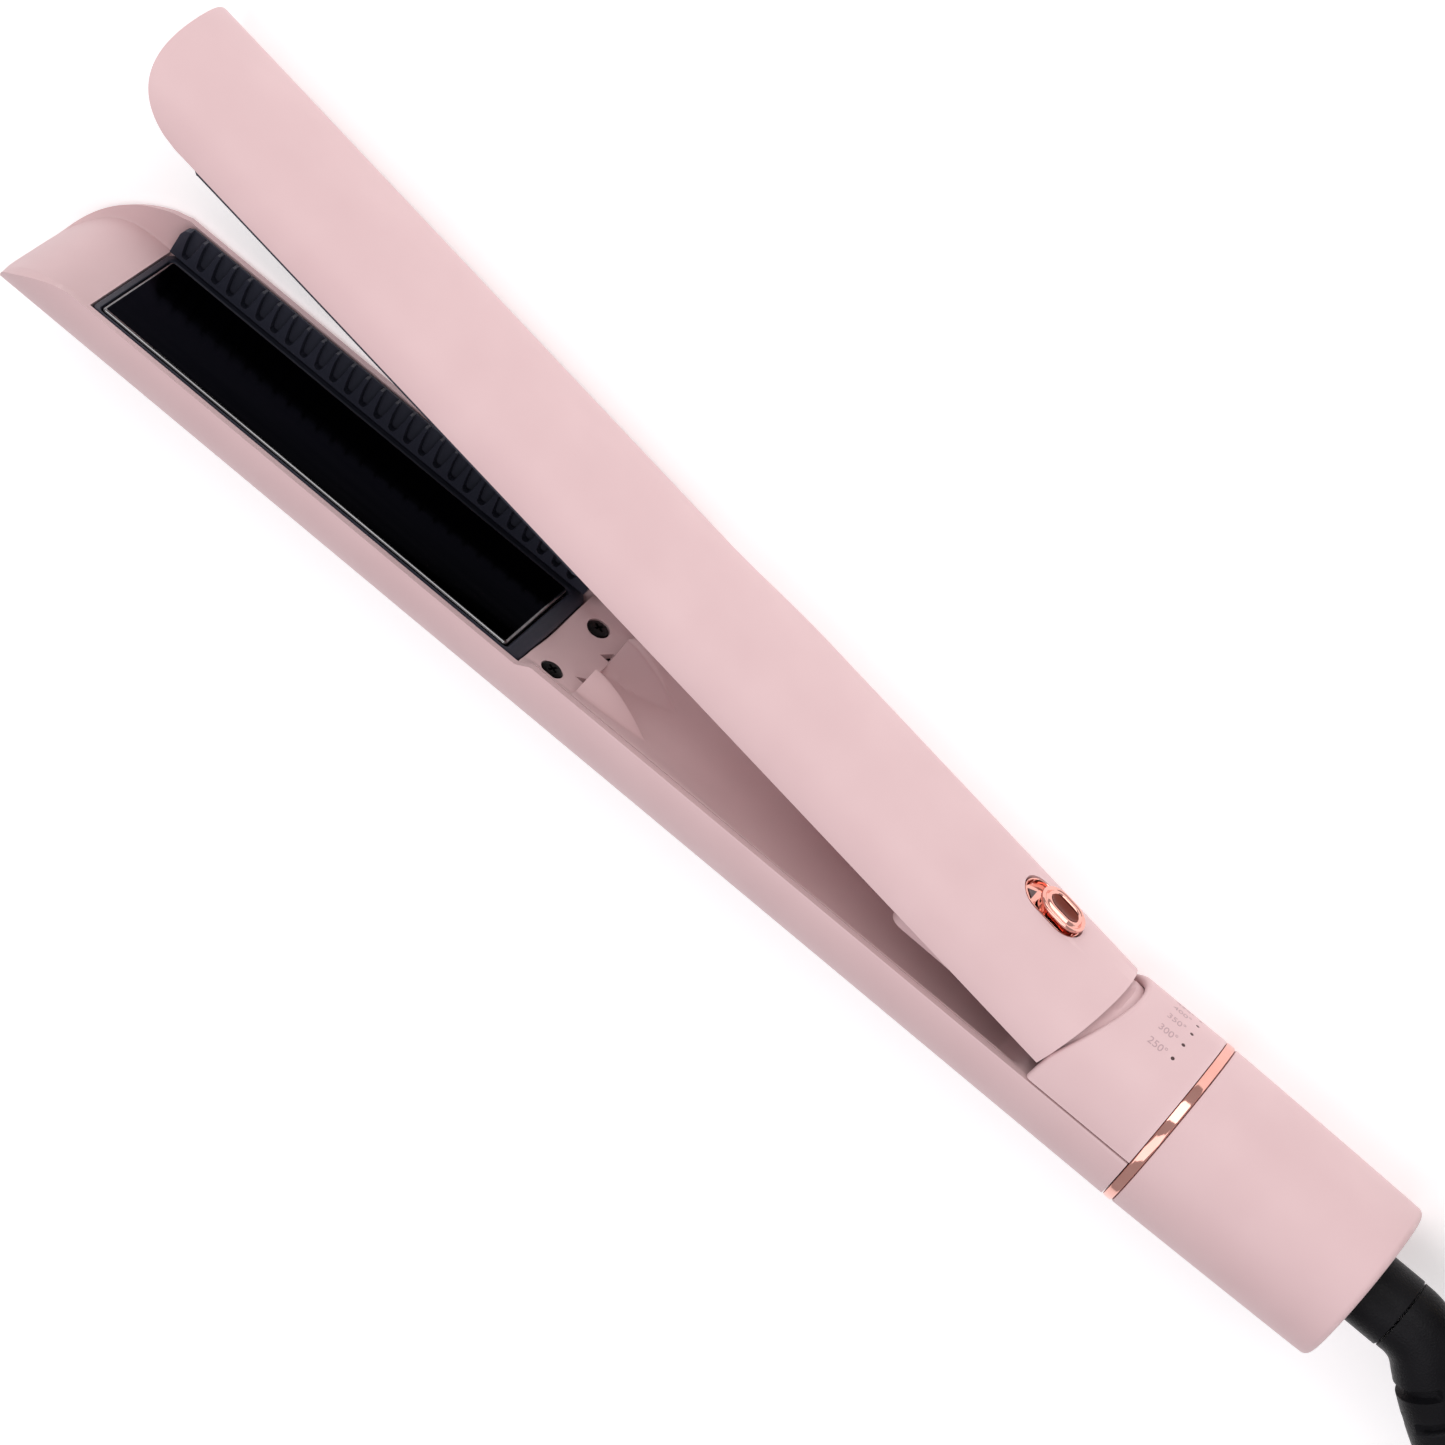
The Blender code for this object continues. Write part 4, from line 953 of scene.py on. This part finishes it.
BOOT_BEND = radians(45.0)
BOOT_BEND_R, BOOT_STRAIGHT, BOOT_DROP = 10.0, 33.0, 3.5


def boot_point(s):
    """The strain relief's centre line at s millimetres from its start."""
    bend_length = BOOT_BEND_R * BOOT_BEND
    x0 = BARREL_X1 + GAP
    if s < 1.0:
        return Vector((x0 + s, 0, 0))
    angle = min(s - 1.0, bend_length) / BOOT_BEND_R
    point = Vector((x0 + 1.0 + BOOT_BEND_R * sin(angle), -BOOT_BEND_R * (1 - cos(angle)), 0))
    run = max(0.0, s - 1.0 - bend_length)
    point += Vector((cos(BOOT_BEND), -sin(BOOT_BEND), 0)) * run
    point.z -= BOOT_DROP * (run / BOOT_STRAIGHT) ** 2
    return point


def add_swivel():
    """Barrel, then a boot whose tapering end is cut by alternate slots so that it flexes."""
    profile = [(130.0, 6.0), (132.0, 7.0), (132.0, 8.3), (134.5, 8.3), (134.5, BARREL_R), (146.0, BARREL_R),
               (BARREL_X1 - 0.3, BARREL_R), (BARREL_X1 - 0.1, BARREL_R - 0.04), (BARREL_X1, BARREL_R - 0.2)]
    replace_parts(turned("swivel_joint", profile, "swivel", "rubber_black", sides=64), "swivel_barrel")
    length = 1.0 + BOOT_BEND_R * BOOT_BEND + BOOT_STRAIGHT
    first_groove, pitch, groove, depth = 13.6, 6.5, 1.8, 1.4
    rings = []
    for s in spaced(0.0, length, 171):
        ahead = (boot_point(s + 0.05) - boot_point(max(0.0, s - 0.05))).normalized()
        up = (Vector((0, 0, 1)) - ahead * ahead.z).normalized()
        side = ahead.cross(up)
        base = 6.85 - 0.1 * min(1.0, s / 6.0) - ramp(s, 12.0, length, 0.0, 2.2)
        if s > length - 0.6:
            base -= 0.5 * ((s - length + 0.6) / 0.6) ** 2
        index = round((s - first_groove) / pitch)
        off = abs(s - first_groove - index * pitch)
        in_groove = 0 <= index < 5 and off < groove / 2 + 0.3
        ring = []
        for a in turn_angles(64):
            radius = base
            if in_groove:
                facing = abs(cos(a + (0.9 if index % 2 else 0.9 + pi / 2)))
                cut = ramp(facing, 0.30, 0.42) * ramp(off, groove / 2 + 0.25, groove / 2 - 0.1)
                radius -= depth * cut
            ring.append(boot_point(s) + (up * cos(a) + side * sin(a)) * radius)
        rings.append(ring)
    boot = loft("cord_boot", rings, "swivel", "rubber_black", sharp=50.0)
    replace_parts(boot, "strain_relief")
    return boot


LIE_Z = TABLE_Z + CORD_R + 0.05
LEAD_ROUTE = [
    (187.66, -26.51, -3.57),
    (194.0, -32.2, -5.6),
    (201.5, -36.1, -8.1),
    (210.5, -37.5, -10.7),
    (220.5, -37.55, -12.7),
    (231.0, -36.4, LIE_Z),
    (243.0, -32.9, LIE_Z),
    (256.0, -28.1, LIE_Z),
    (269.0, -23.3, LIE_Z),
    (281.0, -20.1, LIE_Z),
]
TAIL_ROUTE = [
    (282.0, 26.0, LIE_Z),
    (273.0, 26.1, LIE_Z),
    (264.0, 26.6, LIE_Z),
    (254.0, 27.6, LIE_Z),
    (244.0, 28.5, LIE_Z),
    (234.0, 29.0, LIE_Z),
    (225.0, 29.0, LIE_Z),
    (216.0, 29.0, LIE_Z),
]
HANK_Y = 0.0
RUN_X0, RUN_X1 = 292.0, 389.5    # the hank's straight runs
TIE_X = (RUN_X0 + RUN_X1) / 2
TURN_R = (19.5, 26.0)            # turns of its inner and outer column
LEVEL = 6.55                     # rise from one turn to the next


def hank_points():
    """Five turns: three on the inner column going up, then two on the outer column coming down.

    The first run of each turn goes away from the iron on the -y side, the second comes back. A run
    is (radius and level at its start, radius and level at its end, where it changes, from 0 to 1).
    """
    inner, outer = TURN_R
    turns = [
        ((inner, 0, inner, 0, 0.0, 1.0), (inner, 0, inner, 1, 0.52, 0.98)),
        ((inner, 1, inner, 1, 0.0, 1.0), (inner, 1, inner, 2, 0.52, 0.98)),
        ((inner, 2, inner, 2, 0.0, 1.0), (inner, 2, outer, 2, 0.0, 0.46)),
        ((outer, 2, outer, 1, 0.1, 0.9), (outer, 1, outer, 1, 0.0, 1.0)),
        ((outer, 1, outer, 0, 0.1, 0.9), (outer, 0, outer, 0, 0.0, 1.0)),
    ]
    points = []
    for number, runs in enumerate(turns):
        for side, (r0, level0, r1, level1, start, end) in zip((-1, 1), runs):
            for t in spaced(0.0, 1.0, 13):
                x = RUN_X0 + (RUN_X1 - RUN_X0) * (t if side < 0 else 1 - t)
                ease = ramp(t, start, end)
                points.append((x, HANK_Y + side * (r0 + (r1 - r0) * ease),
                               LIE_Z + LEVEL * (level0 + (level1 - level0) * ease)))
            if side > 0 and number == len(turns) - 1:
                return points
            centre_x = RUN_X1 if side < 0 else RUN_X0
            for angle in spaced(0.0, pi, 15)[1:-1]:
                points.append((centre_x - side * r1 * sin(angle), HANK_Y + side * r1 * cos(angle),
                               LIE_Z + LEVEL * level1))
    return points


def smooth_route(points, spacing):
    """Points about spacing apart on a Catmull-Rom curve through the route's own points."""
    way = [Vector(p) for p in points]
    padded = [2 * way[0] - way[1]] + way + [2 * way[-1] - way[-2]]
    fine = []
    for i in range(1, len(padded) - 2):
        p0, p1, p2, p3 = padded[i - 1:i + 3]
        for k in range(12):
            t = k / 12
            fine.append(0.5 * (2 * p1 + (p2 - p0) * t + (2 * p0 - 5 * p1 + 4 * p2 - p3) * t * t
                               + (3 * p1 - p0 - 3 * p2 + p3) * t ** 3))
    fine.append(way[-1])
    out, walked = [fine[0]], 0.0
    for a, b in zip(fine, fine[1:]):
        walked += (b - a).length
        if walked >= spacing:
            out.append(b)
            walked = 0.0
    return out


def add_tie():
    """A woven strap round the middle of the hank, with rounded edges and a lapped end."""
    low, half_x, thick, corner = TABLE_Z + 0.05, 6.8, 1.3, 3.0
    half_y, top = TURN_R[1] + CORD_R + 0.45, low + 20.3
    path = []
    for y0, start in ((HANK_Y - half_y + corner, 180), (HANK_Y + half_y - corner, 90)):
        for k in range(7):
            angle = radians(start - 15 * k)
            path.append((y0 + corner * cos(angle), top - corner + corner * sin(angle)))
    path = [(HANK_Y - half_y, low)] + path + [(HANK_Y + half_y, low)]
    outer, inner = [], []
    for i, (y, z) in enumerate(path):
        before, after = path[max(0, i - 1)], path[min(len(path) - 1, i + 1)]
        ahead = Vector((after[0] - before[0], after[1] - before[1])).normalized()
        outer.append((y - ahead.y * thick, z + ahead.x * thick))
        inner.append((y, z))
    sections = []
    for t in spaced(-1.0, 1.0, 15):
        x = TIE_X + half_x * t
        thin = 0.45 * max(0.0, abs(t) - 0.86) / 0.14
        thinned = [(x, y0 + (y1 - y0) * thin, z0 + (z1 - z0) * thin)
                   for (y0, z0), (y1, z1) in zip(outer, inner)]
        sections.append((thinned, [(x, y, z) for y, z in inner]))
    tie = skin_loft("cord_tie", sections, "body", "strap_black")
    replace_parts(tie, "hank_tie")
    return tie


def add_plug():
    """A moulded two-blade plug with finger ribs on its neck."""
    x_cord, y = TAIL_ROUTE[-1][0] - GAP, TAIL_ROUTE[-1][1]
    plug_length, blade_length, blade_hole_r = 40.0, 17.0, 1.55
    key_sections = [(0.0, 4.2, 4.0), (9.0, 5.2, 5.2), (15.0, 9.0, 7.4), (19.0, 11.5, 8.2), (38.0, 12.0, 8.5),
                    (39.3, 11.7, 8.2), (40.0, 11.0, 7.6)]
    rings = []
    for dx in spaced(0.0, plug_length, 101):
        for (d0, y0, z0), (d1, y1, z1) in zip(key_sections, key_sections[1:]):
            if d0 <= dx <= d1:
                t = (dx - d0) / (d1 - d0)
                t = t * t * (3 - 2 * t)
                half_y, half_z = y0 + (y1 - y0) * t, z0 + (z1 - z0) * t
        low_z = max(half_z, CORD_R)
        if 1.5 < dx < 13.0:
            groove = 0.5 * ramp(cos(2 * pi * dx / 2.3), 0.2, 0.8)
            half_y, half_z = half_y - groove, half_z - groove
        ring = []
        for a in turn_angles(56):
            c, s = cos(a), sin(a)
            ring.append((x_cord - dx, y + half_y * copysign(abs(c) ** 0.6, c),
                         TABLE_Z + 0.1 + low_z + half_z * copysign(abs(s) ** 0.6, s)))
        rings.append(ring)
    pieces = [loft("plug_moulding", rings, "body", "rubber_black", sharp=50.0)]
    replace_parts(pieces[0], "plug_body")
    for end, dy in (("near", -6.35), ("far", 6.35)):
        z = TABLE_Z + 8.6
        x0, x1 = x_cord - plug_length - blade_length, x_cord - plug_length - GAP
        outline = [(x1, z - 3.2), (x1, z + 3.2)]
        for angle in spaced(pi / 2, 3 * pi / 2, 13):
            outline.append((x0 + 2.2 + 2.2 * cos(angle), z + 3.2 * sin(angle)))
        rings = [[(px, y + dy + off, pz) for px, pz in outline] for off in (-0.75, 0.75)]
        blade = loft("blade_" + end, rings, "body", "brass")
        hole = [ring_y(x0 + 4.0, y + dy + off, z, blade_hole_r, 24) for off in (-2.0, 2.0)]
        combine(blade, "DIFFERENCE", loft("blade_hole", hole, "body", "brass"))
        round_edges(blade, 0.2, 2)
        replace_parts(blade, "plug_blade_" + end)
        pieces.append(blade)
    return pieces


def add_cord(pieces_on_it):
    """The whole cord as one tube, lying still."""
    points = smooth_route(LEAD_ROUTE + hank_points() + TAIL_ROUTE, 2.0)
    curve = bpy.data.curves.new("mains_cord", "CURVE")
    curve.dimensions = "3D"
    curve.bevel_depth = CORD_R * MM
    curve.bevel_resolution = 6
    curve.use_fill_caps = True
    spline = curve.splines.new("POLY")
    spline.points.add(len(points) - 1)
    for node, point in zip(spline.points, points):
        node.co = (*at(point), 1.0)
    spline.use_smooth = True
    curve.materials.append(material("cord_black"))
    line = new_object("cord_line", curve)
    cord = new_object("mains_cord", final_mesh(line))
    bpy.data.objects.remove(line)
    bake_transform(cord)
    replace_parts(cord, "cord_lead", "cord_hank", "cord_tail")


# --- parts carried over from the CAD

CARRIED = {
    "charcoal": ("upper_plate_frame", "board_capacitor"),
    "ceramic": ("lower_heater", "upper_heater"),
    "steel": ("lower_heater_clip", "upper_heater_clip", "hinge_bracket_near", "hinge_bracket_far",
              "hinge_pin", "hinge_spring", "dial_detent_spring"),
    "nylon": ("lower_plate_carrier", "upper_plate_carrier", "tail_tube", "swivel_socket"),
    "silicone": ("lower_cushion_front", "lower_cushion_rear", "upper_cushion_front", "upper_cushion_rear"),
    "board_green": ("control_board", "temperature_encoder"),
    "wire_red": ("lower_heater_lead", "board_supply_lead", "upper_heater_lead"),
    "lens": ("indicator_light_pipe",),
    "brass": ("thermistor",),
}


def finish_carried_nodes():
    for finish, names in CARRIED.items():
        for name in names:
            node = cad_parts[name]
            node.data.materials.clear()
            node.data.materials.append(material(finish))


# --- stage, lights and camera

SENSOR_WIDTH, LENS, DISTANCE = 36.0, 142.0567, 997.0
SWING, TILT, ROLL = (radians(a) for a in (4.3, 34.0, 39.7))
AIM = Vector((0.0, 3.12, -2.10))
FLOOR_HALF = 4.0         # metres


def add_camera():
    """A view from above the near side, with the iron lying across the picture."""
    toward = Vector((sin(SWING), cos(SWING) * sin(TILT), cos(SWING) * cos(TILT)))
    along = Vector((cos(SWING), -sin(SWING) * sin(TILT), -sin(SWING) * cos(TILT)))
    across = Vector((0.0, -cos(TILT), sin(TILT)))
    right = cos(ROLL) * along - sin(ROLL) * across
    up = -(sin(ROLL) * along + cos(ROLL) * across)
    data = bpy.data.cameras.new("camera")
    data.sensor_width = SENSOR_WIDTH
    data.lens = LENS
    data.clip_end = 20.0
    camera = new_object("camera", data)
    turn = Matrix((right, up, toward)).transposed().to_4x4()
    camera.matrix_world = Matrix.Translation((AIM + toward * DISTANCE + ORIGIN) * MM) @ turn
    bpy.context.scene.camera = camera


def add_light(name, place, size, power, colour):
    """A rectangular softbox aimed at the origin; place and size in metres."""
    data = bpy.data.lights.new(name, "AREA")
    data.shape = "RECTANGLE"
    data.size, data.size_y = size
    data.energy = power
    data.color = colour
    light = new_object(name, data)
    light.location = place
    light.rotation_euler = (-Vector(place)).to_track_quat("-Z", "Y").to_euler()


def add_stage():
    """A white paper floor, a pale studio round it, and two softboxes."""
    mesh = bpy.data.meshes.new("floor")
    corners = [(-1, -1), (1, -1), (1, 1), (-1, 1)]
    mesh.from_pydata([(x * FLOOR_HALF, y * FLOOR_HALF, 0) for x, y in corners], [], [(0, 1, 2, 3)])
    floor = new_object("floor", mesh)
    floor.location.z = -0.0001
    paper = bpy.data.materials.new("backdrop_paper")
    paper.use_nodes = True
    inputs = paper.node_tree.nodes["Principled BSDF"].inputs
    inputs["Base Color"].default_value = (0.92, 0.92, 0.92, 1.0)
    inputs["Roughness"].default_value = 0.9
    inputs["Specular IOR Level"].default_value = 0.0
    inputs["Emission Color"].default_value = (1.0, 1.0, 1.0, 1.0)
    inputs["Emission Strength"].default_value = 0.30
    mesh.materials.append(paper)

    world = bpy.data.worlds.new("studio")
    bpy.context.scene.world = world
    world.use_nodes = True
    inputs = world.node_tree.nodes["Background"].inputs
    inputs["Color"].default_value = (1.0, 0.955, 0.985, 1.0)
    inputs["Strength"].default_value = 0.44
    add_light("key", (-0.1, 1.02, 0.88), (2.0, 0.7), 9.6, (1.0, 0.985, 0.965))
    add_light("top", (0.1, -0.15, 1.3), (1.8, 0.8), 6.6, (1.0, 0.975, 1.0))
    bpy.context.scene.view_settings.view_transform = "Standard"


add_camera()
boot = add_swivel()
add_cord([boot, add_tie()] + add_plug())
add_shells()
add_covers()
add_plate("lower_hot_plate", LOWER_FACE_Y, 1, "lower_plate", "lower_plate")
add_plate("upper_hot_plate", UPPER_FACE_Y, -1, "upper_plate", "upper_plate")
add_lower_frame()
add_comb()
add_collar()
add_temperature_marks()
add_neck()
add_tail()
add_lock()
finish_carried_nodes()
add_stage()
